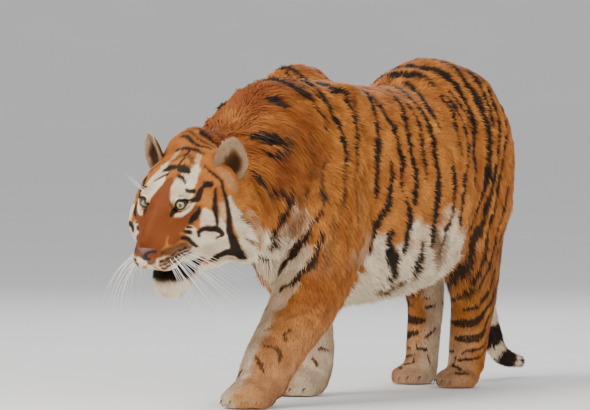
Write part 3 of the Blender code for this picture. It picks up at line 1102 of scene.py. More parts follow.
    def survey(self, edges: Array) -> None:
        """Works out the coat's depth, length, lift, width and lie over the skin, and evens them out.

        Args:
            edges: the skin's edges.
        """
        rows = [GROWTH[growth_key(n)] for n in self.names]
        local = HEAD.inwards(self.outer)
        table = np.array([[g.depth, g.length, g.lift, g.width] for g in rows])[self.label]
        lie = self.lie_of_hair(local, np.array([g.lie for g in rows], float)[self.label])
        head = self.on_head()
        off = np.linalg.norm(HEAD.face_map(local), axis=1)
        front = ramp(local[:, 1], -0.19, -0.08)
        top = ramp(local[:, 2], 0.03, 0.08) * ramp(local[:, 1], -0.08, 0.02)
        ruff = ramp(off, 62, 96) * ramp(-local[:, 2], -0.05, 0.03) * ramp(local[:, 1], -0.06, 0.05)
        chin = ramp(-local[:, 2], 0.135, 0.165) * (1 - ramp(local[:, 1], -0.05, 0.02))
        length = 0.0045 + 0.005 * front + 0.008 * top + 0.046 * ruff + 0.016 * chin
        depth = 0.0020 + 0.0020 * front + 0.0025 * top + 0.0150 * ruff + 0.006 * chin
        lift = 12 + 15 * ruff + 8 * chin
        width = 0.0011 + 0.0014 * np.clip(ruff + top * 0.4, 0, 1)
        table[head] = np.stack([depth, length, lift, width], 1)[head]
        trunk = read_trunk(self.outer)
        under = ramp(np.abs(trunk[:, 1]), 118, 150) * ramp(-self.normals[:, 2], 0.1, 0.6)
        under *= ~head & (self.outer[:, 2] > 0.22) & (np.abs(self.outer[:, 1]) < 0.62)
        table[:, 1] += 0.028 * under
        table[:, 0] += 0.006 * under
        breast = ramp(-self.outer[:, 1], 0.36, 0.48) * ramp(np.abs(trunk[:, 1]), 95, 130)
        table[:, 1] += 0.008 * breast * (self.outer[:, 2] > 0.3) * ~head
        table = spread(table, edges, 24)
        lie = spread(lie, edges, 16)
        lie -= (lie * self.normals).sum(1, keepdims=True) * self.normals
        self.fields = {
            "depth": table[:, 0], "length": table[:, 1], "lift": table[:, 2], "width": table[:, 3],
            "lie": unit(lie), "head": head.astype(float), "ruff": ruff * head,
        }

    def set_lids(self, local: Array) -> Array:
        """Draws the skin over each eyeball but for the opening between its lids.

        Args:
            local: the skin's points in the head's frame.

        Returns:
            The moved points.
        """
        out = local.copy()
        for eye in EYES:
            frame_of_eye = np.stack(eye.axes(), 1)
            a, b, c = ((out - eye.centre()) @ frame_of_eye).T
            wide = np.hypot(a, b)
            near = (wide < 0.040) & (c > -0.022)
            lid = EYE_RADIUS + self.lid_thickness
            bend = 0.80 * lid
            cap = np.sqrt(np.maximum(lid**2 - np.minimum(wide, bend) ** 2, 0))
            cap -= 1.33 * np.maximum(wide - bend, 0)
            cover = np.where(near, 0.5 * (c + cap + np.sqrt((c - cap) ** 2 + 0.0000035)), c)
            measure = eye.measure(a, b)
            fold = np.exp(-(((measure - 1.62) / 0.16) ** 2)) * (b > 0) * self.lid_fold
            inside = 1 - ramp(measure, 0.93, 1.04)
            deep = np.sqrt(np.maximum((EYE_RADIUS - self.socket_depth) ** 2 - wide**2, 0))
            cover = (cover - fold * near) * (1 - inside) + deep * inside
            out = np.where(near[:, None], np.stack([a, b, cover], 1) @ frame_of_eye.T + eye.centre(), out)
        return out

    def bare(self) -> Array:
        """Finds where nothing grows: eyes, mouth, nose leather and soles.

        Returns:
            1 at each bare point.
        """
        local = HEAD.inwards(self.points)
        out = 1 - ramp(self.outer[:, 2], 0.002, 0.006)
        head = self.fields["head"] > 0.5
        for eye in EYES:
            measure, reach, ahead = eye.opening(local)
            out = np.maximum(out, head * (ahead > 0) * (reach < 0.032) * (1 - ramp(measure, 1.04, 1.10)))
        out = np.maximum(out, head * (mouth_cover(local, 0.0) > 0.6))
        out = np.maximum(out, np.array(self.names)[self.label] == "nose")
        return (out > 0.5).astype(float)

    @staticmethod
    def on_face(p: Array) -> Array:
        """Which places of the head's frame lie on the face."""
        return (p[:, 1] < -0.03) & (p[:, 1] > -0.30) & (p[:, 2] > -0.22) & (np.abs(p[:, 0]) < 0.16)

    def build(self) -> None:
        """Makes the skin and surveys it."""
        skin = self.fuse()
        self.even(skin)
        self.thin(skin)
        self.divide(skin, self.on_face)
        for eye in EYES:
            self.divide(skin, lambda p: np.linalg.norm(p - eye.centre(), axis=1) < 0.036)
        self.names = self.flesh()
        self.outer = points_of(skin.data)
        mesh = skin.data
        self.faces = faces_of(mesh)
        self.normals = normals_of(self.outer, self.faces)
        self.name_parts()
        edges = edges_of(mesh)
        self.survey(edges)
        inward = unit(spread(self.normals, edges, 12))
        self.points = self.outer - inward * self.fields["depth"][:, None]
        local = HEAD.inwards(self.points)
        head = self.fields["head"] > 0.5
        local[head] = self.set_lids(local)[head]
        self.points = np.where(head[:, None], HEAD.outwards(local), self.points)
        for eye in EYES:
            close = head & (np.linalg.norm(local - eye.centre(), axis=1) < 0.038)
            self.outer[close] = self.points[close]
            shorter = 1 - 0.6 * (1 - ramp(eye.opening(local)[0], 1.3, 2.8)) * close
            self.fields["length"] = self.fields["length"] * shorter
        set_points(mesh, self.points)
        smooth(mesh)
        self.normals = normals_of(self.points, self.faces)
        self.piece = skin
        LOG.info("skin: %d points, %d triangles", len(self.points), len(self.faces))


# -------- the markings


@dataclass(frozen=True)
class Mark:
    """One stroke on a chart: rows of place, place and half-width, in the chart's own units."""

    ink: Ink
    path: tuple[Triple, ...]
    strength: float = 1.0


def strokes(ink: Ink, *paths: tuple[Triple, ...], strength: float = 1.0) -> list[Mark]:
    """Several marks of one ink."""
    return [Mark(ink, path, strength) for path in paths]


TRUNK_MARKS = [
    *strokes(
        Ink.BLACK,
        ((-59, 81, 0.8), (-58, 91, 1.6), (-59.5, 102, 2.1), (-61, 114, 1.8), (-60.5, 129, 1.3),
         (-56, 150, 0.9)),
        ((-73, 56, 0.8), (-70, 69, 1.3), (-66, 80, 1.2), (-61, 85, 0.8)),
        ((-65, 25, 0.7), (-63, 33, 1.6), (-61, 43, 1.4), (-58, 44, 0.7)),
        ((-66, 38, 0.5), (-64, 47, 0.9), (-61, 51, 1.0), (-58, 47, 0.6)),
        ((-56.5, 13, 0.9), (-55.5, 18, 1.4), (-54, 25, 0.8)),
        ((-44, -2, 1.0), (-45, 7, 1.5), (-45, 13, 1.5), (-43.5, 22, 1.4), (-42, 31, 1.1), (-41, 38, 0.8),
         (-41, 47, 0.4)),
        ((-38, -1, 0.8), (-36.5, 6, 1.3), (-35, 13, 1.5), (-36, 21, 1.5), (-36, 29, 1.5), (-35.5, 37, 1.4),
         (-34, 45, 1.3), (-34, 55, 1.0), (-35, 64, 0.7), (-37.5, 76, 0.6)),
        ((-28, -22, 0.9), (-25.5, -14, 1.5), (-23.5, -7, 1.5), (-24, 1, 0.8)),
        ((-28, 8, 0.5), (-26.5, 20, 0.8), (-26, 29, 0.9), (-25, 36, 0.9), (-25, 43, 0.8), (-27, 53, 0.7),
         (-30, 64, 0.6), (-32, 74, 0.5), (-34, 84, 0.4)),
        ((-7, 17, 0.6), (-13, 33, 0.9), (-16, 43, 1.0), (-18, 53, 1.1), (-20, 65, 1.2), (-20.5, 76, 1.1),
         (-21, 88, 0.9), (-21, 99, 0.5)),
        ((-14, 70, 0.5), (-14, 81, 0.9), (-16, 92, 1.3), (-16, 103, 1.3), (-19, 114, 1.4), (-21, 124, 1.2),
         (-21, 133, 0.7)),
        ((-8, 17, 0.6), (-9, 31, 0.9), (-9, 42, 1.0), (-9, 54, 1.1), (-9, 65, 1.3), (-9, 75, 1.3),
         (-10, 86, 1.0), (-9, 95, 0.5)),
        ((7, 13, 0.6), (2, 31, 1.0), (-1, 42, 1.1), (-3, 55, 1.2), (-3, 66, 1.3), (-3, 77, 1.3),
         (-3, 88, 1.2), (-3, 101, 0.8)),
        ((-7, 97, 0.8), (-5, 109, 1.5), (-5, 119, 1.6), (-5, 128, 1.3), (-5, 136, 0.6)),
        ((6, 25, 0.5), (6, 38, 0.8), (4.5, 48, 0.9), (3, 58, 0.9), (2.5, 70, 0.8), (3, 84, 0.4)),
        ((21, 3, 0.7), (13, 20, 0.9), (12, 30, 1.1), (10.5, 42, 1.2), (9, 54, 1.3), (9, 66, 1.4),
         (9, 80, 1.6), (8.5, 92, 1.7), (8, 104, 1.7), (8, 117, 1.3), (9, 127, 0.8)),
        ((25, 5, 0.6), (21, 20, 1.0), (18, 31, 1.1), (16, 40, 0.9), (17, 52, 0.4)),
        ((18, 62, 0.5), (18, 78, 1.2), (18, 90, 1.3), (17.5, 100, 1.2), (15.5, 114, 1.1), (15, 130, 0.7)),
        ((27, 24, 0.5), (28, 37, 0.9), (26, 48, 0.9), (25, 64, 0.4)),
        ((30, 28, 0.6), (31, 40, 0.9), (31, 52, 0.9), (29, 68, 0.8), (25, 84, 0.8), (23, 98, 0.9),
         (23.5, 116, 0.6)),
        ((27, -5, 0.8), (28, 8, 1.1), (28, 20, 0.6)),
        ((33, -4, 1.2), (33, 6, 1.6), (36, 14, 1.6), (37, 24, 1.4), (38, 34, 1.3), (38, 45, 1.2),
         (36.5, 56, 1.3), (34, 66, 1.4), (33.5, 78, 1.0), (32, 89, 0.5)),
        ((32, 26, 0.6), (34, 36, 0.8), (36, 48, 0.5)),
        ((42, 4, 0.9), (44, 16, 1.2), (43, 28, 1.3), (43.5, 40, 1.3), (43, 52, 1.4), (42, 66, 1.4),
         (41.5, 80, 1.3), (40, 95, 1.2), (36, 109, 1.1), (31, 122, 0.9)),
        ((51, 12, 0.7), (48.5, 27, 1.0), (48, 38, 1.2), (46.5, 50, 1.1), (46, 61, 0.6)),
        ((54, 22, 0.6), (52, 38, 1.0), (50, 55, 1.0), (48, 70, 1.0), (46, 84, 0.9), (43.5, 98, 0.7)),
        ((60, 26, 0.6), (57, 42, 0.9), (56, 60, 0.9), (53, 76, 0.8), (49.5, 90, 0.8), (47, 102, 0.6)),
        ((-13, 121, 1.0), (-13, 130, 1.9), (-9, 137, 2.2), (-5, 147, 1.2)),
        ((3, 125, 0.8), (5, 134, 1.7), (6, 142, 1.6), (6, 150, 0.8)),
    ),
    *strokes(
        Ink.BLACK,
        ((-37, 73, 0.5), (-40, 89, 0.6), (-43, 101, 0.5)),
        ((-57, 44, 0.5), (-55.5, 39, 0.8), (-54, 36, 0.4)),
        ((-24, 27, 0.5), (-23, 40, 0.6), (-24, 52, 0.4)),
        ((-9, 157, 1.2), (0, 158, 2.0), (3, 150, 1.2)),
        ((-48, 45, 0.4), (-49, 60, 0.7), (-50, 77, 0.8), (-51, 97, 0.6)),
        ((-43, 58, 0.4), (-44, 78, 0.8), (-47, 99, 0.7)),
        strength=0.72,
    ),
    *strokes(
        Ink.BLACK,
        ((-35, 84, 0.3), (-35, 96, 0.5), (-36, 110, 0.5)),
        ((9, 118, 1.5), (12, 129, 1.9), (18, 141, 1.5)),
        ((36, 92, 0.4), (30, 108, 0.6), (27, 120, 0.4)),
        ((3, 124, 0.8), (4, 133, 1.5), (6, 144, 1.5), (8, 154, 0.9)),
        strength=0.5,
    ),
    # Faint grey on the belly's white: painted shade on the underside of the body.
    *strokes(
        Ink.BLACK,
        ((6, 107, 1.2), (9, 118, 2.2), (14, 130, 1.8)),
        ((14, 115, 1.0), (18, 127, 1.8), (20, 138, 1.4)),
        strength=0.34,
    ),
    *strokes(
        Ink.WHITE,
        ((-55.5, 98, 0.8), (-55.5, 108, 1.3), (-56, 124, 1.6), (-53, 140, 1.5)),
        strength=0.34,
    ),
]
HIND_MARKS = [
    *strokes(
        Ink.BLACK,
        ((66, -22, 0.4), (61, -27, 0.6), (55, -35, 0.7), (49, -41, 0.6), (44, -52, 0.6), (39, -62, 0.7),
         (35, -74, 0.8), (32, -92, 0.7), (30, -125, 0.4)),
        ((66, -3, 0.4), (61, -11, 0.5), (54, -17, 0.5), (47, -26, 0.5), (41, -37, 0.6), (36, -49, 0.8),
         (31, -64, 0.9), (27.5, -88, 0.9), (26, -130, 0.4)),
        ((60, 26, 0.4), (57, 20, 0.4), (50, 12, 0.5), (44, -6, 0.5), (38, -24, 0.5), (33, -38, 0.45),
         (29, -54, 0.4)),
        ((49, 38, 0.4), (45, 24, 0.4), (40, 6, 0.4), (34, -8, 0.5), (28.5, -24, 0.8), (26, -42, 0.9),
         (24, -62, 0.8), (23.4, -84, 0.4)),
        ((33, 30, 0.3), (29, 10, 0.4), (24, -14, 0.7), (21, -38, 1.1), (19.3, -66, 1.2), (19.2, -96, 1.0),
         (19.6, -120, 0.4)),
        ((24, 20, 0.3), (19, -8, 0.7), (15.5, -25, 1.1), (14.5, -55, 1.2), (15.3, -98, 0.7)),
        ((16, 22, 0.3), (13, -2, 0.35), (11.4, -34, 0.4), (10.9, -74, 0.35)),
        ((12.5, 20, 0.25), (9.8, -10, 0.3), (8.7, -43, 0.4), (9, -84, 0.3)),
        ((7.2, -98, 0.3), (6.2, -70, 0.35)),
        ((5, -78, 0.3), (5.2, -54, 0.25)),
        ((23, -120, 0.3), (24, -152, 0.45)),
        ((14.5, -125, 0.4), (17, -160, 0.4)),
        ((11.3, -100, 0.35), (11, -134, 0.35)),
        ((9.6, -92, 0.25), (7, -96, 0.25)),
        ((9.2, -138, 0.25), (7, -152, 0.25)),
        ((25, 120, 0.4), (24, 160, 0.5)),
        strength=0.95,
    ),
    *strokes(
        Ink.BLACK,
        ((42, 52, 0.3), (38, 80, 0.5), (36, 112, 0.4)),
        ((34, 42, 0.3), (30, 72, 0.5), (28, 108, 0.4)),
        ((26, 40, 0.3), (23, 70, 0.5), (21.5, 106, 0.4)),
        ((18, 42, 0.3), (16, 72, 0.4), (15, 104, 0.3)),
        strength=0.85,
    ),
]
FORE_MARKS = [
    *strokes(Ink.WHITE, ((55, -90, 1.2), (51, -95, 2.2), (46, -104, 2.2), (43, -120, 2)), strength=0.34),
    *strokes(Ink.WHITE, ((45, -78, 1.2), (42, -87, 2.0), (38, -98, 2.4), (34, -112, 2)), strength=0.58),
    *strokes(Ink.WHITE, ((35, -80, 0.8), (32, -88, 1.4), (29, -95, 1.6)), strength=0.40),
    *strokes(
        Ink.BLACK,
        ((62, -71, 0.15), (55, -70, 0.22), (51, -76, 0.4), (48, -85, 0.6), (44, -96, 0.75),
         (41, -107, 0.7), (37, -129, 0.5)),
        ((49, -60, 0.35), (45, -60, 0.5), (42, -65, 0.6), (39, -73, 0.65), (36, -85, 0.6),
         (33, -107, 0.4)),
        strength=0.95,
    ),
    *strokes(
        Ink.BLACK,
        ((60, -81, 0.3), (54, -87, 0.45), (49, -96, 0.5), (46, -108, 0.4)),
        ((64, -48, 0.4), (57, -43, 0.5), (53, -40, 0.45), (48, -38, 0.3)),
        ((54, -51, 0.4), (47, -47, 0.7), (43, -46, 0.8), (39, -47, 0.5)),
        ((53, -21, 0.3), (47, -10, 0.4), (42, 0, 0.3)),
        ((62, -20, 0.3), (57, -5, 0.45), (49, 11, 0.3)),
        strength=0.45,
    ),
    *strokes(
        Ink.BLACK,
        ((22, -48, 0.3), (20.8, -55, 0.45), (19, -46, 0.35)),
        ((18, -84, 0.3), (17.2, -66, 0.45), (15.5, -52, 0.45), (13.6, -42, 0.3)),
        ((15.3, -90, 0.35), (13, -76, 0.5), (11, -63, 0.35)),
        ((14, -140, 0.5), (13.3, -170, 0.45)),
        ((11.3, -120, 0.4), (9.3, -134, 0.35)),
        ((21, -132, 0.5), (20, -168, 0.5)),
        ((28, -130, 0.6), (27, -168, 0.6)),
        ((36, -140, 0.7), (35, -172, 0.7)),
        strength=0.75,
    ),
    *strokes(
        Ink.BLACK,
        ((25, -68, 0.35), (26.3, -50, 0.4), (28, -34, 0.3)),
        ((22, -104, 0.3), (23, -90, 0.3)),
        strength=0.42,
    ),
]
TAIL_RINGS = (
    (21, 0.9), (31, 1.6), (41, 1.9), (50, 2.0), (58.5, 2.1), (67, 2.2), (79.3, 3.3), (88.7, 2.8), (97, 3.2),
)
TAIL_MARKS = strokes(Ink.BLACK, *(((at, 0, half), (at + 0.1, 0, half)) for at, half in TAIL_RINGS))
WHISKER_DOTS = (
    (-12, (9, 12, 15, 18, 21)),
    (-14.7, (8, 11, 14, 17, 20, 23)),
    (-17.4, (9, 12, 15, 18, 21, 24)),
)
HEAD_MARKS = [
    *strokes(
        Ink.RUST,
        ((0, -8, 8), (0, 2, 12), (0, 12, 12), (-1, 22, 10), (-2, 30, 8), (-2, 40, 6), (-2, 48, 4)),
        ((16, 12, 4), (22, 13, 4), (29, 16, 5), (34, 18, 4.5)),
        ((15, 4, 5), (22, 5, 5), (28, 10, 5)),
        ((16, -3, 4), (20, -4, 2)),
        strength=0.95,
    ),
    *strokes(
        Ink.WHITE,
        ((19, 27, 8), (19, 34, 11), (19, 42, 12.5), (20, 50, 11.5), (25, 60, 7), (26, 68, 3)),
        ((17, 14, 1.4), (22, 14.5, 1.8), (28, 18.5, 1.7), (33, 24, 1.2)),
        ((42, 14, 3.5), (45, 5, 9), (48, -6, 13), (50, -18, 14), (50, -32, 13)),
        ((28, 0, 4.5), (31, -10, 7), (35, -18, 9), (38, -30, 10)),
        ((69, 26, 2), (71, 12, 4), (73, -4, 5.5), (74, -20, 6.5), (72, -34, 9), (66, -48, 12)),
        ((3, -13, 3), (10, -15, 4.5), (17, -16, 5.5), (23, -17, 6), (28, -21, 6)),
        ((0, -38, 10), (8, -44, 12), (16, -52, 14), (30, -58, 15), (46, -60, 15)),
        ((0, -25, 4), (8, -26, 5), (18, -27, 5.5), (30, -28, 5)),
        ((0, -18, 2.5), (0, -25, 3.5)),
        ((0, -31, 5), (8, -32, 5), (18, -33, 5.5), (28, -34, 5)),
        ((0, -37, 4), (10, -38, 4)),
    ),
    *strokes(
        Ink.WHITE,
        ((22, 72, 4), (22, 82, 4), (19, 92, 3)),
        ((60, 20, 2.5), (59, 6, 3.5)),
        ((84, 4, 3), (88, -14, 4), (90, -34, 8)),
        strength=0.4,
    ),
    *strokes(Ink.WHITE, ((54, 66, 3), (62, 58, 6), (72, 46, 7), (80, 34, 5)), strength=0.16),
    *strokes(
        Ink.BLACK,
        ((0, 67, 3), (8, 65, 5.2), (15, 62, 4.8), (20, 59, 2.5)),
        ((7, 55, 1.5), (13, 52.5, 2.2), (18, 48, 1.6), (20, 45, 1.0)),
        ((22, 37, 1.5), (25, 35.5, 2.4), (31, 35.5, 1.9)),
        ((30, 28, 1.5), (35, 28, 3.6), (37, 34, 3.4), (38, 39, 1.5)),
        ((40, 40, 2), (43.5, 43, 4.6), (47, 43, 3.6)),
        ((53, 37, 1.2), (53, 26, 2.7), (52, 16, 3.0), (52, 7, 2.2), (51, -1, 1.5)),
        ((35, 70, 1.2), (42, 63, 1.8), (50, 55, 2.2), (57, 48, 2.2), (62, 36, 2.3), (65, 22, 2.5),
         (65, 8, 2.8), (63, -6, 3.1), (62, -18, 3.4), (61, -32, 3.9), (60, -45, 3.0)),
        ((33, -5, 1.5), (34, -1, 2.2), (39, 0.5, 2.5), (45, -2, 2.6), (52, -5, 2.6), (55, -11, 2.3),
         (48, -12, 1.2)),
        ((28, 7, 1.5), (32, 11, 2.8), (36, 15.5, 2.4), (37.5, 19.5, 1.2)),
        ((26, 3, 1.3), (29, 2.5, 1.1)),
        ((23, 0, 1.5), (26, -2, 2.2)),
        ((21, -4, 1.2), (25, -8, 1.5), (28, -11, 1.4), (31, -15, 1.0)),
        ((38, -41, 2.5), (48, -36, 4.5), (56, -36, 5.0), (60, -42, 3.0)),
        ((18, 20.5, 1.8), (15, 19, 2.5), (12.5, 16.5, 1.5)),
        ((0, 68, 2.2), (0, 76, 2.6), (0, 86, 2.6), (0, 96, 1.8)),
        ((-4, 97, 1.4), (7, 97, 2.0), (19, 92.5, 2.0), (30, 88, 1.2)),
        ((-4, 104, 1.3), (6, 105, 2.0), (21, 104, 2.0), (33, 99, 1.0)),
        ((0, 110, 0.7), (12, 111, 1.3), (26, 109, 1.2), (38, 103, 0.7)),
        ((-2, 115, 1.5), (12, 118, 2.6), (28, 116, 2.6), (41, 108, 1.2)),
    ),
    *strokes(
        Ink.BLACK,
        ((2, 88, 1.8), (7, 85, 2.8), (13, 79.5, 3.4), (20, 73, 2.0)),
        ((11, -8, 1.6), (16, -9.5, 2.6), (21, -10.5, 2.2), (26, -13, 1.2)),
        ((6, -5, 1.5), (9, -8, 1.8)),
        ((9, -12.5, 0.7), (15, -13.5, 0.9), (22, -14.5, 0.7)),
        ((76, 0, 1.0), (79, -9, 1.4), (82, -18, 0.8)),
        ((72, -24, 0.9), (76, -32, 1.2), (78, -40, 0.8)),
        strength=0.7,
    ),
    *strokes(Ink.BLACK, *(((a, b, 0.8), (a + 1.1, b - 0.2, 0.8)) for b, row in WHISKER_DOTS for a in row)),
]
MARKS = {
    Area.TRUNK: TRUNK_MARKS, Area.HEAD: HEAD_MARKS, Area.TAIL: TAIL_MARKS,
    Area.FORE_LEFT: FORE_MARKS, Area.FORE_RIGHT: FORE_MARKS,
    Area.HIND_LEFT: HIND_MARKS, Area.HIND_RIGHT: HIND_MARKS,
}
TURN_TO_CM = {Area.TRUNK: 0.45, Area.HEAD: 1.0, Area.TAIL: 0.0}
WHITE_EDGE = (
    (-90, 100), (-60, 126), (-52, 132), (-45, 145), (-36, 138), (-30, 129), (-18, 131), (-10, 128),
    (0, 123), (8, 117), (20, 117), (28, 126), (34, 140), (45, 158), (60, 170),
)


@dataclass
class Painter:
    """Works out the three inks at any place of the coat."""

    softness: float = 0.32
    tear_start: tuple[float, float] = (-0.014, -0.005)
    tear_end: tuple[float, float] = (-0.030, -0.019)

    def stroke(self, spot: Array, mark: Mark, scale: float, soft: float) -> tuple[Array, Array]:
        """How strongly one mark covers places of its chart.

        Args:
            spot: chart places, (n, 2).
            mark: the mark.
            scale: what one step of the second coordinate is worth in the first's units.
            soft: half the width of the mark's edge.

        Returns:
            The numbers of the places near it, and its cover there.
        """
        line = curve_through(mark.path, 5)
        flat = line[:, :2] * (1, scale)
        reach = line[:, 2].max() + 3 * soft
        at = spot * (1, scale)
        near = np.nonzero(((at > flat.min(0) - reach) & (at < flat.max(0) + reach)).all(1))[0]
        p = at[near]
        best = np.full(len(near), 99.0)
        for a, b, w, v in zip(flat[:-1], flat[1:], line[:-1, 2], line[1:, 2]):
            step = b - a
            t = np.clip((p - a) @ step / max(step @ step, 1e-9), 0, 1)
            gap = np.hypot(*(p - a - t[:, None] * step).T) - (w + (v - w) * t)
            best = np.minimum(best, gap)
        return near, (1 - ramp(best, -soft, soft)) * mark.strength

    def ground(self, area: Area, spot: Array, points: Array) -> Array:
        """The inks under the marks: pale below and inside, rusty along the back and on the shoulder.

        Args:
            area: the area.
            spot: its chart's places.
            points: the same places in space.

        Returns:
            Black, white and rust at each.
        """
        out = np.zeros((len(spot), 3))
        wave = ripple(points, 0.05, 3)
        if area is Area.TRUNK:
            turn = np.abs(spot[:, 1])
            edge = np.interp(spot[:, 0], *np.array(WHITE_EDGE, float).T) + 5 * wave
            out[:, 1] = ramp(turn, edge - 12, edge + 7)
            shoulder = (1 - ramp(np.abs(spot[:, 0] + 46), 12, 30)) * ramp(turn, 30, 70)
            nape = ramp(-spot[:, 0], 30, 56) * (1 - ramp(turn, 80, 110))
            rust = 0.30 * (1 - ramp(turn, 0, 70)) + 0.20 * shoulder + 0.56 * nape + 0.14 * wave
            out[:, 2] = np.clip(rust, 0, 1) * (1 - out[:, 1])
        elif area is Area.HEAD:
            out[:, 1] = ramp(-spot[:, 1], 46, 62) * (1 - ramp(np.abs(spot[:, 0]), 70, 95))
            out[:, 2] = 0.25 * ramp(spot[:, 1], 20, 60) + 0.05
        elif area is Area.TAIL:
            out[:, 1] = ramp(spot[:, 0], 16, 40) * 0.92
        elif area in (Area.FORE_LEFT, Area.FORE_RIGHT):
            front = ramp(-spot[:, 1], 84, 104) + ramp(spot[:, 1], 112, 145)
            out[:, 1] = np.clip(0.62 * np.minimum(front, 1) + 0.20 * (1 - ramp(spot[:, 0], 4, 34)), 0, 1)
            out[:, 2] = 0.46 * ramp(spot[:, 0], 12, 34) * (1 - np.minimum(front, 1))
        else:
            ahead = (1 - ramp(spot[:, 0], 6, 22)) * ramp(-spot[:, 1], 20, 85)
            inside = ramp(np.abs(spot[:, 1]), 105, 140) + 0.55 * ahead
            out[:, 1] = 0.72 * np.clip(inside, 0, 1) * (1 - ramp(spot[:, 0], 38, 48))
            out[:, 2] = 0.40 * ramp(spot[:, 0], 10, 30)
        return np.clip(out, 0, 1)

    def lay(self, area: Area, spot: Array, state: Array) -> Array:
        """Paints all the marks of an area over the inks that are there.

        Args:
            area: the area.
            spot: its chart's places.
            state: the inks there.

        Returns:
            The inks with the marks.
        """
        scale = TURN_TO_CM.get(area, 0.12)
        soft = 0.9 if area is Area.HEAD else 0.14 if area not in (Area.TRUNK, Area.TAIL) else self.softness
        for way in (1, -1) if area in (Area.TRUNK, Area.HEAD) else (1,):
            for mark in MARKS[area]:
                seen = self.facing(area, spot, way)
                near, cover = self.stroke(seen, mark, scale, soft)
                change = state[near] * (1 - cover[:, None])
                if mark.ink is not Ink.ORANGE:
                    change[:, mark.ink.value] += cover
                state[near] = change
        return state

    @staticmethod
    def facing(area: Area, spot: Array, way: int) -> Array:
        """Turns the chart for one side; the right mirrors the left, a little out of step.

        Args:
            area: the area.
            spot: its chart's places.
            way: 1 for the left side, -1 for the right.

        Returns:
            The places as seen from that side.
        """
        if way > 0:
            return spot
        out = spot.copy()
        if area is Area.HEAD:
            out[:, 0] = -spot[:, 0] + 0.8 * np.sin(spot[:, 1] * 0.11)
        else:
            out[:, 1] = -spot[:, 1]
            away = ramp(np.abs(spot[:, 1]), 15, 60)
            out[:, 0] = spot[:, 0] + 2.2 * away * np.sin(spot[:, 1] * 0.05 + spot[:, 0] * 0.09)
        return out

    def inks(self, points: Array, names: Array) -> Array:
        """The inks at places of the coat.

        Args:
            points: the places.
            names: the CAD node of each.

        Returns:
            Black, white and rust, each 0 to 1.
        """
        out = np.zeros((len(points), 3))
        blur = np.stack([ripple(points, 0.045, 11), ripple(points, 0.045, 12)], 1) * 0.30
        blur += np.stack([ripple(points, 0.016, 13), ripple(points, 0.016, 14)], 1) * 0.16
        for area, wanted in AREAS.items():
            mine = np.isin(names, wanted)
            if not mine.any():
                continue
            spot = chart(area, points[mine])
            scale = TURN_TO_CM.get(area, 0.12) or 1.0
            size = 1.6 if area is Area.HEAD else 0.6 if area not in (Area.TRUNK, Area.TAIL) else 1.0
            spot += blur[mine] * size / (1, scale)
            state = out[mine]
            fresh = self.ground(area, spot, points[mine])
            fresh[names[mine] == "jaw"] = (0, 1, 0)
            if area in (Area.TRUNK, Area.HEAD, Area.TAIL):
                state = fresh
            else:
                low = 1 - ramp(points[mine][:, 2], 0.36, 0.52)
                state = state * (1 - low[:, None]) + fresh * low[:, None]
            out[mine] = self.lay(area, spot, state)
            if area is Area.HEAD:
                out[mine] = self.line(HEAD.inwards(points[mine]), out[mine])
        return np.clip(out, 0, 1)

    def line(self, local: Array, state: Array) -> Array:
        """Blackens the lips, the inside of the mouth, the skin round the eyes and the tear line, over a white
        line below each eye; the black inside the mouth and the extra black above each eye are painted shade.

        Args:
            local: places in the head's frame.
            state: the inks there.

        Returns:
            The inks with the dark and pale lines.
        """
        # The lips' own black, and black over the mouth's opening: painted shade inside the mouth.
        cover, light = mouth_cover(local), np.zeros(len(local))
        for eye in EYES:
            measure, reach, ahead = eye.opening(local)
            a, b = ((local - eye.centre()) @ np.stack(eye.axes()[:2], 1)).T
            here = (reach < 0.055) * (ahead > -0.012)
            # The black lid rim, the skin's own colour; wider above the eye (b > 0.002), which is painted
            # shadow under the brow.
            ring = 1 - ramp(measure, 1.26 + 0.30 * (b > 0.002), 1.42 + 0.40 * (b > 0.002))
            start = np.array(self.tear_start)
            fall = np.array(self.tear_end) - start
            t = np.clip(((np.stack([a, b], 1) - start) @ fall) / (fall @ fall), 0, 1)
            gap = np.hypot(a - start[0] - t * fall[0], b - start[1] - t * fall[1])
            tear = 1 - ramp(gap, 0.0052 - 0.0018 * t, 0.0072 - 0.0018 * t)
            cover = np.maximum(cover, np.maximum(ring, tear) * here)
            below = ramp(-b, 0.002, 0.006) * ramp(a, -0.016, -0.011) * (1 - ramp(a, 0.020, 0.026))
            below = below * ramp(measure, 1.25, 1.42) * (1 - ramp(measure, 1.72, 1.95))
            light = np.maximum(light, below * here)
        for value, ink in ((light, Ink.WHITE.value), (cover, Ink.BLACK.value)):
            state = state * (1 - value[:, None])
            state[:, ink] += value
        return state


FORE_PARTS = ("upper", "forearm", "paw")
HIND_PARTS = ("thigh", "shank", "foot")


def leg_nodes(leg: str) -> tuple[str, ...]:
    """The three CAD nodes of one leg, from its top down."""
    return tuple(f"{leg}_{part}" for part in (FORE_PARTS if leg.startswith("fore") else HIND_PARTS))


AREAS = {
    Area.TRUNK: ("neck", "chest", "abdomen", "rump", "foreleg_left_upper", "foreleg_right_upper",
                 "hindleg_left_thigh", "hindleg_right_thigh"),
    Area.HEAD: ("head", "jaw", "nose", "ear_left", "ear_right"),
    Area.TAIL: ("tail_base", "tail_middle", "tail_tip"),
    Area.FORE_LEFT: leg_nodes("foreleg_left"),
    Area.FORE_RIGHT: leg_nodes("foreleg_right"),
    Area.HIND_LEFT: leg_nodes("hindleg_left"),
    Area.HIND_RIGHT: leg_nodes("hindleg_right"),
}

# -------- the coat


@dataclass
class Hide:
    """A surface that tufts grow on, as arrays."""

    points: Array
    outer: Array
    faces: Array
    normals: Array
    names: Array
    length: Array
    lift: Array
    width: Array
    lie: Array
    bare: Array
    inks: Array | None = None


@dataclass(frozen=True)
class CoatPiece:
    """One piece of the coat: the CAD nodes it grows on, and how many tufts it has."""

    name: str
    nodes: tuple[str, ...]
    tufts: int
    side: int = 0


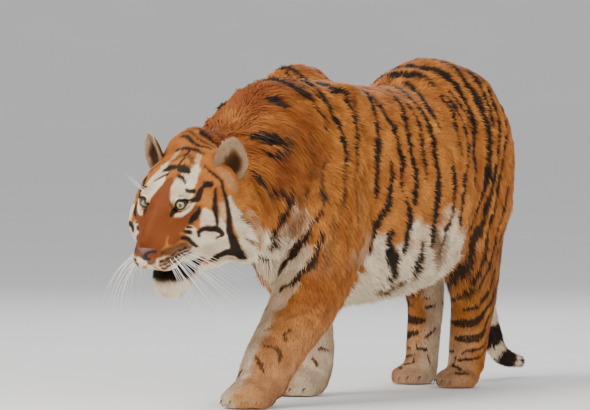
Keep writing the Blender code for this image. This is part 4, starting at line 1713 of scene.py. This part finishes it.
COAT_PIECES = (
    CoatPiece("coat_head_left", ("head", "jaw"), 64000, 1),
    CoatPiece("coat_head_right", ("head", "jaw"), 54000, -1),
    CoatPiece("coat_neck", ("neck",), 46000),
    CoatPiece("coat_chest", ("chest",), 44000),
    CoatPiece("coat_abdomen", ("abdomen",), 48000),
    CoatPiece("coat_rump", ("rump",), 34000),
    CoatPiece("coat_foreleg_left", leg_nodes("foreleg_left"), 36000),
    CoatPiece("coat_foreleg_right", leg_nodes("foreleg_right"), 28000),
    CoatPiece("coat_hindleg_left", leg_nodes("hindleg_left"), 36000),
    CoatPiece("coat_hindleg_right", leg_nodes("hindleg_right"), 30000),
    CoatPiece("coat_tail", AREAS[Area.TAIL], 22000),
)


EAR_TUFTS = 9000
COAT_SEED = 100
EAR_SEED = 200


@dataclass
class Coat:
    """Grows tufts, each a narrow blade of three triangles that bends over towards its tip."""

    painter: Painter
    finish: PeltFinish = PeltFinish("pelt_coat")
    patch: float = 0.0015
    stray: float = 8.0
    drift: float = 11.0
    bend: float = 0.45
    sag: float = 0.42
    sunk: float = 0.0006
    lowest_bend: float = 0.002
    lowest_tip: float = 0.0008

    def unwrap(self, points: Array, faces: Array) -> Array:
        """Unfolds part of a surface.

        Args:
            points: the surface's points.
            faces: the triangles to unfold.

        Returns:
            A place in the unit square for each corner.
        """
        used, index = np.unique(faces, return_inverse=True)
        helper = new_object("unfolding", points[used], index.reshape(faces.shape))
        with editing(helper):
            bpy.ops.uv.smart_project(angle_limit=math.radians(70), island_margin=0.004)
        flat = np.empty(faces.size * 2, np.float32)
        helper.data.uv_layers.active.data.foreach_get("uv", flat)
        bpy.data.objects.remove(helper)
        return flat.reshape(-1, 3, 2).astype(float)

    def roots(self, hide: Hide, faces: Array, count: int, rng: np.random.Generator) -> tuple[Array, Array]:
        """Spreads roots evenly, closer where the hair is short and fine.

        Args:
            hide: the surface.
            faces: those of its faces that grow this piece.
            count: how many roots.
            rng: the chance that places them.

        Returns:
            The face of each root, as a number into faces, and its share of the face's corners.
        """
        corner = hide.points[faces]
        size = np.linalg.norm(np.cross(corner[:, 1] - corner[:, 0], corner[:, 2] - corner[:, 0]), axis=1)
        first = faces[:, 0]
        size *= (hide.length[first] * hide.width[first]) ** -0.5 * (1 - hide.bare[faces].max(1))
        total = np.cumsum(size)
        at = (np.arange(count) + rng.uniform(0, 1, count)) / count * total[-1]
        face = np.minimum(np.searchsorted(total, at), len(faces) - 1)
        u, v = rng.uniform(0, 1, (2, count))
        flip = u + v > 1
        u[flip], v[flip] = 1 - u[flip], 1 - v[flip]
        return face, np.stack([1 - u - v, u, v], 1)

    def grow(self, hide: Hide, piece: CoatPiece, seed: int) -> bpy.types.Object:
        """Grows one piece of the coat.

        Args:
            hide: the surface.
            piece: which part of it, and how many tufts.
            seed: starts the piece's own chance.

        Returns:
            The piece.
        """
        rng = np.random.default_rng(seed)
        chosen = np.isin(hide.names[hide.faces[:, 0]], piece.nodes)
        if piece.side:
            x = HEAD.inwards(hide.outer[hide.faces[:, 0]])[:, 0]
            chosen &= x * piece.side >= 0
        faces = hide.faces[chosen]
        count = piece.tufts
        face, share = self.roots(hide, faces, count, rng)
        corners = faces[face]

        def at_root(values: Array) -> Array:
            """A value of the surface at each root."""
            return (values[corners] * share.reshape(count, 3, *([1] * (values.ndim - 1)))).sum(1)

        root, normal, lie = at_root(hide.points), unit(at_root(hide.normals)), unit(at_root(hide.lie))
        length = at_root(hide.length) * rng.uniform(0.72, 1.18, count)
        width = at_root(hide.width) * rng.uniform(0.8, 1.2, count) * 1
        lift = np.radians(at_root(hide.lift) * np.clip(1 + 0.30 * rng.normal(size=count), 0.3, 2))
        lift = lift * (1 + 0.25 * ripple(root, 0.022, 31))
        turn = np.radians(self.stray * rng.normal(size=count) + self.drift * ripple(root, 0.05, 32) * 0.7
                          + self.drift * ripple(root, 0.016, 33) * 0.5)
        side = unit(np.cross(lie, normal))
        way = lie * np.cos(turn)[:, None] + side * np.sin(turn)[:, None]
        side = unit(np.cross(way, normal))
        rise, sink = np.sin(lift)[:, None], np.sin(lift * 0.25)[:, None]
        near = way * np.cos(lift)[:, None] + normal * rise
        droop = ramp(length, 0.030, 0.060)[:, None] * np.array([0, 0, -self.sag])
        far = unit(way * np.cos(lift * 0.25)[:, None] + normal * sink + droop)
        middle = root + near * (length * self.bend)[:, None]
        tip = middle + far * (length * (1 - self.bend))[:, None]
        middle[:, 2] = np.maximum(middle[:, 2], self.lowest_bend)
        tip[:, 2] = np.maximum(tip[:, 2], self.lowest_tip)
        half = side * (width * 0.5)[:, None]
        base = root - normal * self.sunk
        low, high = half * 0.8, half * 0.9
        points = np.stack([base - low, base + low, middle + high, middle - high, tip], 1)
        start = (np.arange(count) * 5)[:, None, None]
        tris = np.array([[0, 1, 2], [0, 2, 3], [3, 2, 4]])[None] + start
        obj = new_object(piece.name, points.reshape(-1, 3), tris.reshape(-1, 3))
        names = hide.names[corners[:, 0]]
        inks = self.painter.inks(at_root(hide.outer), names) if hide.inks is None else at_root(hide.inks)
        tint = np.clip(0.5 + 0.20 * rng.normal(size=count) + 0.16 * ripple(root, 0.03, 34), 0, 1)
        black, white, rust, shades = (np.repeat(column, 5) for column in (*inks.T, tint))
        # tip runs from 0 at a tuft's root to 1 at its tip; the finish paints shade by it, darkest at the
        # root.
        tips = np.tile([0.0, 0.0, 0.62, 0.62, 1.0], count)
        paint(obj.data, black=black, white=white, rust=rust, tint=shades, tip=tips)
        self.map_patches(obj, hide, faces, face, share)
        return dress(obj, made(self.finish), "coat")

    def map_patches(self, obj: bpy.types.Object, hide: Hide, faces: Array, face: Array, share: Array) -> None:
        """Gives each tuft its small patch on the unfolded surface.

        Args:
            obj: the tufts.
            hide: the surface they stand on.
            faces: its triangles.
            face: each tuft's triangle.
            share: its place in that triangle.
        """
        flat = self.unwrap(hide.points, faces)
        place = (flat[face] * share[:, :, None]).sum(1)
        place = np.clip(place, 2 * self.patch, 1 - 2 * self.patch)
        p = self.patch
        corner = np.array([(-p, -p), (p, -p), (p, 0), (-p, 0), (0, p)])
        spots = place[:, None, :] + corner[None]
        order = np.array([0, 1, 2, 0, 2, 3, 3, 2, 4])
        layer = obj.data.uv_layers.new(name="OFBake")
        layer.data.foreach_set("uv", spots[:, order].astype(np.float32).ravel())


# -------- eyes, nose, ears, whiskers and claws


@dataclass(frozen=True)
class EyeFinish:
    """A wet eye: round pupil, pale green-gold iris with fine spokes, dark rim and brown outside."""

    name: str = "eyeball"
    pupil: tuple = linear(6, 6, 6)
    inner: tuple = linear(120, 92, 40)
    iris: tuple = linear(172, 154, 86)
    outer: tuple = linear(138, 132, 76)
    rim: tuple = linear(26, 20, 12)
    white: tuple = linear(70, 48, 34)

    def make(self) -> bpy.types.Material:
        """Builds the eye's nodes.

        Returns:
            The material.
        """
        bench = Bench(self.name)
        away = bench.attribute("away")
        ray = bench.node("ShaderNodeCombineXYZ", inputs={0: bench.attribute("spoke") * 9.0, 1: away})
        inputs = {"Vector": ray, "Scale": 5.0, "Detail": 3.0}
        fibres = bench.node("ShaderNodeTexNoise", {"noise_dimensions": "2D"}, inputs)
        place = away + (fibres - 0.5) * 0.05
        stops = [(0.0, self.pupil), (0.105, self.pupil), (0.125, self.inner), (0.20, self.iris),
                 (0.33, self.outer), (0.395, self.rim), (0.47, self.white), (1.0, self.white)]
        colour = bench.node("ShaderNodeValToRGB", {"stops": stops}, {0: place})
        shade = bench.node("ShaderNodeCombineColor", inputs={i: 0.72 + fibres * 0.5 for i in range(3)})
        colour = bench.mix(1.0, colour, shade, "MULTIPLY")
        return bench.finish(Base_Color=colour, Roughness=0.12, Coat_Weight=1.0, Coat_Roughness=0.03, IOR=1.38)


@dataclass(frozen=True)
class LeatherFinish:
    """Bare damp skin with a fine pebble, darker where the fold attribute is high; on the nose this is painted
    shade in its folds.
    """

    name: str
    light: tuple
    dark: tuple
    grain: float = 700.0
    roughness: float = 0.36

    def make(self) -> bpy.types.Material:
        """Builds the leather's nodes.

        Returns:
            The material.
        """
        bench = Bench(self.name)
        pebble = bench.node("ShaderNodeTexVoronoi", inputs={
            "Vector": bench.node("ShaderNodeTexCoord", output=3), "Scale": self.grain})
        # Painted shade: the fold attribute, with a little noise, mixes the light colour towards the dark.
        depth = (bench.noise(90.0, 3.0) * 0.6 + bench.attribute("fold")).clear(0.25, 1.0)
        colour = bench.mix(depth, self.light, self.dark)
        rough = self.roughness + bench.noise(140.0) * 0.22
        return bench.finish(Base_Color=colour, Roughness=rough, Normal=bench.bump(pebble, 0.35, 0.0006))


@dataclass(frozen=True)
class HornFinish:
    """Hair shafts and claws: one colour that pales or darkens a little along the piece."""

    name: str
    light: tuple
    dark: tuple
    roughness: float = 0.35

    def make(self) -> bpy.types.Material:
        """Builds the horn's nodes.

        Returns:
            The material.
        """
        bench = Bench(self.name)
        colour = bench.mix(bench.noise(60.0, 2.0), self.light, self.dark)
        return bench.finish(Base_Color=colour, Roughness=self.roughness)


@dataclass
class Eyeball:
    """An eye with its cornea standing a little proud, turned to its gaze."""

    eye: EyeFrame
    cornea: float = 0.0016
    cornea_reach: float = 40.0

    def build(self) -> bpy.types.Object:
        """Makes and dresses the eyeball.

        Returns:
            The piece.
        """
        obj = new_ball(f"eyeball_{self.eye.name}", 64, 48, EYE_RADIUS)
        points = points_of(obj.data)
        ray = unit(points)
        away = np.degrees(np.arccos(np.clip(ray[:, 2], -1, 1)))
        spoke = np.arctan2(ray[:, 1], ray[:, 0]) / (2 * math.pi) + 0.5
        swell = self.cornea * (1 - np.clip(away / self.cornea_reach, 0, 1) ** 2)
        local = ray * (EYE_RADIUS + swell)[:, None]
        place = local @ self.eye.look() + self.eye.centre()
        set_points(obj.data, HEAD.outwards(place))
        paint(obj.data, away=away / 90, spoke=spoke)
        smooth(obj.data)
        return dress(obj, made(EyeFinish()), "eye", f"eye_{self.eye.name}")


def wires(name: str, paths: list[Array], radii: list[Array], sides: int = 1) -> bpy.types.Object:
    """Round strands of changing thickness, as one mesh.

    Args:
        name: the piece's name.
        paths: the points of each strand, (n, 3).
        radii: the strand's radius at each of its points.
        sides: the roundness of a strand.

    Returns:
        The mesh object.
    """
    deselect()
    data = bpy.data.curves.new(name, "CURVE")
    data.dimensions = "3D"
    data.bevel_depth = 1.0
    data.bevel_resolution = sides
    data.use_fill_caps = True
    for path, radius in zip(paths, radii):
        spline = data.splines.new("POLY")
        spline.points.add(len(path) - 1)
        for knot, place, thick in zip(spline.points, path, radius):
            knot.co = (*place, 1.0)
            knot.radius = thick
    curve = bpy.data.objects.new(name, data)
    bpy.context.scene.collection.objects.link(curve)
    activate(curve)
    bpy.ops.object.convert(target="MESH")
    obj = bpy.context.view_layer.objects.active
    obj.name = obj.data.name = name
    smooth(obj.data)
    return obj


@dataclass
class LidRim:
    """The black wet rim round an eye's opening."""

    eye: EyeFrame
    thickness: float = 0.0017
    proud: float = 0.0009

    def build(self) -> bpy.types.Object:
        """Makes and dresses the rim.

        Returns:
            The piece.
        """
        out, rise, gaze = self.eye.axes()
        path = []
        for angle in np.linspace(0, 2 * math.pi, 49):
            a = self.eye.half_width * math.cos(angle)
            tall = self.eye.above if math.sin(angle) > 0 else self.eye.below
            b = tall * math.sin(angle) * (1 - self.eye.narrows * math.cos(angle) ** 2)
            b -= self.eye.corner_drop * max(-math.cos(angle), 0) ** 2
            c = math.sqrt(max(EYE_RADIUS**2 - a * a - b * b, 0))
            path.append(unit(out * a + rise * b + gaze * c) * (EYE_RADIUS + self.proud) + self.eye.centre())
        radius = np.full(len(path), self.thickness)
        obj = wires(f"lid_rim_{self.eye.name}", [HEAD.outwards(np.array(path))], [radius], 2)
        finish = LeatherFinish("lid", linear(34, 26, 22), linear(14, 11, 10))
        paint(obj.data, fold=np.zeros(len(obj.data.vertices)))
        return dress(obj, made(finish), "nose_leather")


@dataclass
class Nose:
    """The nose leather with its two nostrils and the groove below."""

    at: Triple = (0.0, -0.1905, -0.0645)
    size: Triple = (0.0320, 0.0225, 0.0235)
    nostril: Triple = (0.0195, -0.2020, -0.0675)
    nostril_reach: tuple[float, float] = (0.0124, 0.0092)
    nostril_pull: tuple[float, float] = (0.004, 0.0085)

    def build(self) -> bpy.types.Object:
        """Makes and dresses the nose.

        Returns:
            The piece.
        """
        obj = new_ball("nose_leather", 96, 64)
        ball = points_of(obj.data)
        x, y, z = ball.T
        wide = 0.80 + 0.26 * ramp(z, -0.8, 0.3) - 0.10 * ramp(z, 0.5, 1.0)
        local = np.stack([x * wide, y * (1 + 0.08 * (1 - x * x)), z], 1) * self.size + self.at
        dent = np.zeros(len(local))
        for side in (1, -1):
            off = local - np.array(self.nostril) * (side, 1, 1)
            slope = (off[:, 0] * side * 0.90 + off[:, 2] * 0.35) / self.nostril_reach[0]
            across = (off[:, 2] * 0.95 - off[:, 0] * side * 0.35) / self.nostril_reach[1]
            dent += np.exp(-(slope**2 + across**2) * 1.1) * (local[:, 1] < self.at[1] + 0.006)
        aside, inwards = self.nostril_pull
        still = np.zeros(len(local))
        local += np.stack([-np.sign(local[:, 0]) * aside, still + inwards, still], 1) * dent[:, None]
        groove = np.exp(-((local[:, 0] / 0.0022) ** 2)) * ramp(-(local[:, 2] - self.at[2]), 0.002, 0.010)
        local[:, 1] += 0.0022 * groove
        rim = np.exp(-((local[:, 0] / 0.012) ** 2))
        rim *= np.exp(-(((local[:, 2] - self.at[2] - 0.012) / 0.010) ** 2))
        local[:, 1] -= 0.0012 * rim
        set_points(obj.data, HEAD.outwards(local))
        # Painted shade: fold blackens the nostril dents and the groove below them; the nose also darkens
        # towards its bottom.
        low = ramp(-(local[:, 2] - self.at[2]), 0.010, 0.022) * 0.5
        paint(obj.data, fold=np.clip(dent * 5.0 + groove * 0.8 + low, 0, 1.3))
        smooth(obj.data)
        finish = LeatherFinish("nose_skin", linear(118, 66, 52), linear(12, 9, 8), roughness=0.52)
        return dress(obj, made(finish), "nose_leather")


@dataclass
class Ear:
    """A round cupped ear: dark behind with a pale spot, and pale hair in front greyed by painted shade inside
    its cup.
    """

    name: str
    side: int
    at: Triple = (0.119, 0.096, 0.099)
    size: Triple = (0.045, 0.0085, 0.062)
    cup: float = 7.0
    lean: float = 16.0
    turn: float = 30.0
    hide: Hide | None = None

    def frame(self) -> Matrix:
        """From the ear's own frame to the head's.

        Returns:
            The matrix.
        """
        turn = Matrix.Rotation(math.radians(self.turn * self.side), 4, "Z")
        lean = Matrix.Rotation(math.radians(self.lean * self.side), 4, "Y")
        return Matrix.Translation((self.at[0] * self.side, self.at[1], self.at[2])) @ turn @ lean

    def build(self) -> bpy.types.Object:
        """Makes and dresses the ear, and keeps its surface for the coat.

        Returns:
            The piece.
        """
        obj = new_ball(f"ear_shell_{self.name}", 64, 40)
        with editing(obj):
            bpy.ops.mesh.quads_convert_to_tris()
        ball = points_of(obj.data)
        reach = np.clip(np.hypot(ball[:, 0], ball[:, 1]), 0, 1)
        x, z = ball[:, 0] * self.size[0] * 0.98, ball[:, 1] * self.size[2] * 0.98
        x = x * (1 - 1.6 * z)
        back = ball[:, 2] > 0
        thick = self.size[1] * (1 - reach**4) ** 0.5 * (1 - 5 * z)
        y = np.where(back, thick, thick * (0.15 - 0.9 * reach**3)) - self.cup * (x * x + 0.25 * z * z)
        y -= np.where(back, 0, 0.0006)
        own = np.stack([x, y, z], 1)
        frame = np.array(self.frame())
        local = own @ frame[:3, :3].T + frame[:3, 3]
        set_points(obj.data, HEAD.outwards(local))
        with editing(obj):
            bpy.ops.mesh.normals_make_consistent(inside=False)
        self.keep(obj, own, back, reach)
        smooth(obj.data)
        inks = self.hide.inks
        # tip 0.35 everywhere with root shade 0.6: painted shade over the whole ear shell, as at the roots of
        # the coat.
        paint(obj.data, black=inks[:, 0], white=inks[:, 1], rust=inks[:, 2],
              tint=np.full(len(reach), 0.5), tip=np.full(len(reach), 0.35))
        return dress(obj, made(PeltFinish("ear_skin", root_painted_shade=0.6)), "coat", f"ear_{self.name}")

    def keep(self, obj: bpy.types.Object, own: Array, back: Array, reach: Array) -> None:
        """Works out what grows where on the ear.

        Args:
            obj: the ear's shell.
            own: its points in the ear's frame.
            back: which of them are behind.
            reach: how near each is to the edge, 1 at the edge.
        """
        faces = in_order(faces_of(obj.data))
        points = points_of(obj.data)
        normals = normals_of(points, faces)
        x, z = own[:, 0] / self.size[0], own[:, 2] / self.size[2]
        lie = np.where(back[:, None], [0, 0.1, 1.0], [0, 0, 1.0]) + np.stack([x * 0.6, 0 * x, 0 * x], 1)
        inner = ~back
        still = 0 * x[inner]
        sideways = 0.9 * np.sign(-x[inner] * self.side) * self.side
        lie[inner] += np.stack([sideways, still - 0.2, still], 1) * 0.5
        turn = np.array(self.frame().to_3x3())
        lie = HEAD.turned(lie @ turn.T)
        lie -= (lie * normals).sum(1, keepdims=True) * normals
        rim = ramp(reach, 0.80, 0.95)
        # Painted shade inside the cup: grey low in the middle of its front, spared on a patch of pale hair.
        cup_shade = inner * (1 - ramp(np.hypot((x - 0.08 * self.side) / 0.74, (z + 0.24) / 0.86), 0.55, 1.0))
        cup_shade *= 1 - 0.75 * np.exp(-(((x + 0.30 * self.side) / 0.22) ** 2) - ((z - 0.22) / 0.30) ** 2)
        spot = back * (1 - ramp(np.hypot(x / 0.42, (z - 0.10) / 0.40), 0.7, 1.0))
        low = 1 - ramp(z, -0.45, -0.05)
        black = back * (1 - spot) * (1 - low) * (1 - 0.7 * rim) + 0.66 * cup_shade + 0.24 * inner
        white = spot + inner * (1 - cup_shade) * 0.76 + 0.30 * cup_shade + back * rim * 0.4
        length = np.where(back, 0.008, 0.015 + 0.008 * (1 - reach))
        self.hide = Hide(
            points, points, faces, normals, np.full(len(points), f"ear_{self.name}"), length,
            np.where(back, 12.0, 24.0), np.where(back, 0.0014, 0.0013), unit(lie), np.zeros(len(points)),
            np.clip(np.stack([black, white * (1 - np.clip(black, 0, 1)), 0.4 * low * back], 1), 0, 1),
        )


@dataclass
class Whiskers:
    """Long white hairs in rows on the lip pads, with a few over the eyes; their dark roots are among the
    head's marks.
    """

    rows: tuple[tuple[float, int], ...] = ((-0.086, 6), (-0.094, 7), (-0.102, 7), (-0.110, 6))
    longest: float = 0.190
    radius: float = 0.00082
    first: float = -0.176
    spacing: float = 0.0125
    over_eye: int = 4
    brow_length: float = 0.07

    def build(self, skin: Skin) -> bpy.types.Object:
        """Makes and dresses the whiskers.

        Args:
            skin: the skin they are rooted on.

        Returns:
            The piece.
        """
        rng = np.random.default_rng(5)
        local = HEAD.inwards(skin.points)
        paths, radii = [], []
        for side in (1, -1):
            for row, (z, count) in enumerate(self.rows):
                for i in range(count):
                    y = self.first + self.spacing * i + 0.003 * (row % 2)
                    other_side = local[:, 0] * side < 0.008
                    near = np.abs(local[:, 1] - y) + np.abs(local[:, 2] - z) + 100 * other_side
                    root = local[near.argmin()]
                    share = 0.55 + 0.45 * math.sin(math.pi * (i + 1.2) / (count + 1))
                    length = self.longest * share * rng.uniform(0.85, 1.1)
                    sideways = side * rng.uniform(0.80, 1.0)
                    down = -0.42 - 0.18 * row + rng.normal() * 0.12
                    way = unit(np.array([sideways, -0.62 + 0.24 * i, down]))
                    t = np.linspace(0, 1, 9)[:, None]
                    bend = np.array([side * 0.02, 0.46, -0.60 - 0.1 * row]) * (t**2) * length * 0.62
                    paths.append(HEAD.outwards(root + way * length * t * (1 - 0.12 * t) + bend))
                    radii.append(self.radius * (1.05 - 0.85 * t[:, 0]))
            for i in range(self.over_eye):
                root = np.array([side * (0.050 + 0.006 * i), -0.092 + 0.003 * i, 0.078 + 0.002 * i])
                root = local[np.linalg.norm(local - root, axis=1).argmin()]
                way = unit(np.array([side * (0.15 + 0.2 * i), -0.55, 0.75]))
                t = np.linspace(0, 1, 7)[:, None]
                bend = np.array([side * 0.3, 0.5, 0.1]) * t**2 * 0.05
                paths.append(HEAD.outwards(root + way * self.brow_length * t + bend))
                radii.append(self.radius * 0.8 * (1.05 - 0.85 * t[:, 0]))
        obj = wires("whiskers", paths, radii)
        return dress(obj, made(HornFinish("whisker", linear(250, 247, 240), linear(228, 222, 210))), "coat")


@dataclass
class Claws:
    """The tips of the sheathed claws, one over each toe's end."""

    toe_rise: float = 0.024
    length: float = 0.016
    sheathed: float = 0.012
    hind_x: tuple[float, float] = (0.097, -0.102)

    def build(self) -> bpy.types.Object:
        """Makes and dresses the claws.

        Returns:
            The piece.
        """
        paths, radii = [], []
        for node, yaw, pad_wide in (
            ("foreleg_left_paw", 6, 0.070), ("foreleg_right_paw", -6, 0.070),
            ("hindleg_left_foot", 6, 0.056), ("hindleg_right_foot", -6, 0.056),
        ):
            low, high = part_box(node)
            x = (low.x + high.x) / 2 if "paw" in node else self.hind_x[0 if "left" in node else 1]
            front = Vector((x, low.y, 0))
            turn = Matrix.Rotation(math.radians(yaw), 3, "Z")
            for number in (-3, -1, 1, 3):
                ahead = -0.006 if abs(number) == 1 else 0.012
                tip = front + turn @ Vector((number * pad_wide * 0.26, ahead + 0.006, self.toe_rise))
                way = turn @ Vector((number * 0.05, -1.0, 0.0))
                t = np.linspace(0, 1, 7)
                root = tip - way * self.sheathed
                bow = [Vector((0, 0, 0.004 * s - 0.016 * s * s)) for s in t]
                paths.append(np.array([root + way * self.length * s + rise for s, rise in zip(t, bow)]))
                radii.append(0.0030 * (1 - 0.88 * t**1.4))
        obj = wires("claws", paths, radii, 2)
        return dress(obj, made(HornFinish("claw", linear(96, 82, 66), linear(40, 32, 27), 0.3)), "coat")


# -------- the studio


@dataclass
class Studio:
    """The pale floor, soft lights and the camera."""

    azimuth: float = 31.0
    elevation: float = 1.5
    distance: float = 16.0
    lens: float = 340.0
    target: Triple = (-0.175, -0.0137, 0.540)
    flat: float = 36.0
    sweep: float = 10.0
    floor_sides: int = 128
    sweep_steps: int = 25
    aim: Triple = (0, 0, 0.5)
    sensor: float = 36.0
    sky: tuple = (0.80, 0.81, 0.83, 1)
    sky_strength: float = 0.72

    def floor(self) -> None:
        """A round floor that curves up all round into a backdrop, wide enough for a camera on any side."""
        deselect()
        bpy.ops.mesh.primitive_circle_add(vertices=self.floor_sides, radius=self.flat, fill_type="NGON")
        obj = bpy.context.active_object
        obj.name = obj.data.name = "studio_floor"
        radius, height = self.flat, 0.0
        with editing(obj):
            bpy.ops.mesh.region_to_loop()
            for turn in np.linspace(0, math.pi / 2, self.sweep_steps):
                wide = self.flat + 1.0 + self.sweep * math.sin(turn)
                rise = self.sweep * (1 - math.cos(turn)) - height
                bpy.ops.mesh.extrude_edges_move(TRANSFORM_OT_translate={"value": (0, 0, rise)})
                bpy.ops.transform.resize(value=(wide / radius, wide / radius, 1), center_override=(0, 0, 0))
                radius, height = wide, height + rise
        bpy.ops.object.shade_smooth()
        obj.data.materials.append(FloorFinish().make())

    def lamp(self, name: str, at: Triple, size: float, energy: float, colour: Triple = (1, 1, 1)) -> None:
        """A soft square light aimed at the animal.

        Args:
            name: its name.
            at: where it stands.
            size: its side in metres.
            energy: its power in watts.
            colour: its tint.
        """
        data = bpy.data.lights.new(name, "AREA")
        data.size = size
        data.energy = energy
        data.color = colour
        lamp = bpy.data.objects.new(name, data)
        lamp.location = at
        lamp.rotation_euler = (Vector(self.aim) - Vector(at)).to_track_quat("-Z", "Y").to_euler()
        bpy.context.scene.collection.objects.link(lamp)

    def camera(self) -> None:
        """The camera, far off at the animal's left front."""
        back = Vector(direction(self.azimuth, self.elevation))
        data = bpy.data.cameras.new("camera")
        data.lens = self.lens
        data.sensor_width = self.sensor
        data.clip_end = 200
        camera = bpy.data.objects.new("camera", data)
        camera.location = Vector(self.target) + back * self.distance
        camera.rotation_euler = (-back).to_track_quat("-Z", "Y").to_euler()
        bpy.context.scene.collection.objects.link(camera)
        bpy.context.scene.camera = camera

    def build(self) -> None:
        """Sets up the studio."""
        self.camera()
        self.floor()
        self.lamp("key", (-1.6, -4.2, 4.6), 3.6, 400, (1.0, 0.98, 0.95))
        self.lamp("fill", (5.0, -3.2, 2.6), 4.0, 170, (0.97, 0.98, 1.0))
        self.lamp("back", (-2.0, 4.4, 4.0), 3.0, 100)
        world = bpy.data.worlds.new("studio")
        bpy.context.scene.world = world
        world.use_nodes = True
        world.node_tree.nodes["Background"].inputs[0].default_value = self.sky
        world.node_tree.nodes["Background"].inputs[1].default_value = self.sky_strength


def main() -> None:
    """Builds the animal and its studio, piece by piece."""
    logging.basicConfig(level=logging.INFO, format="%(message)s")
    Studio().build()
    skin = Skin()
    skin.build()
    painter = Painter()
    names = np.array(skin.names)[skin.label]
    inks = painter.inks(skin.outer, names)
    tint = np.clip(0.5 + 0.25 * ripple(skin.outer, 0.01, 41), 0, 1)
    # tip 0.30 everywhere: with its finish's root shade, the skin under the coat gets painted shade all over.
    paint(skin.piece.data, black=inks[:, 0], white=inks[:, 1], rust=inks[:, 2], tint=tint,
          tip=np.full(len(tint), 0.30))
    dress(skin.piece, made(skin.finish), "coat", *skin.flesh())
    for eye in EYES:
        Eyeball(eye).build()
        LidRim(eye).build()
    Nose().build()
    fields = skin.fields
    hide = Hide(
        skin.points, skin.outer, skin.faces, skin.normals, names,
        fields["length"], fields["lift"], fields["width"], fields["lie"], skin.bare(),
    )
    coat = Coat(painter)
    for seed, piece in enumerate(COAT_PIECES):
        coat.grow(hide, piece, COAT_SEED + seed)
    for name, side in (("left", 1), ("right", -1)):
        ear = Ear(name, side)
        ear.build()
        coat.grow(ear.hide, CoatPiece(f"coat_ear_{name}", (f"ear_{name}",), EAR_TUFTS), EAR_SEED + side)
    Whiskers().build(skin)
    Claws().build()


if __name__ == "__main__":
    main()
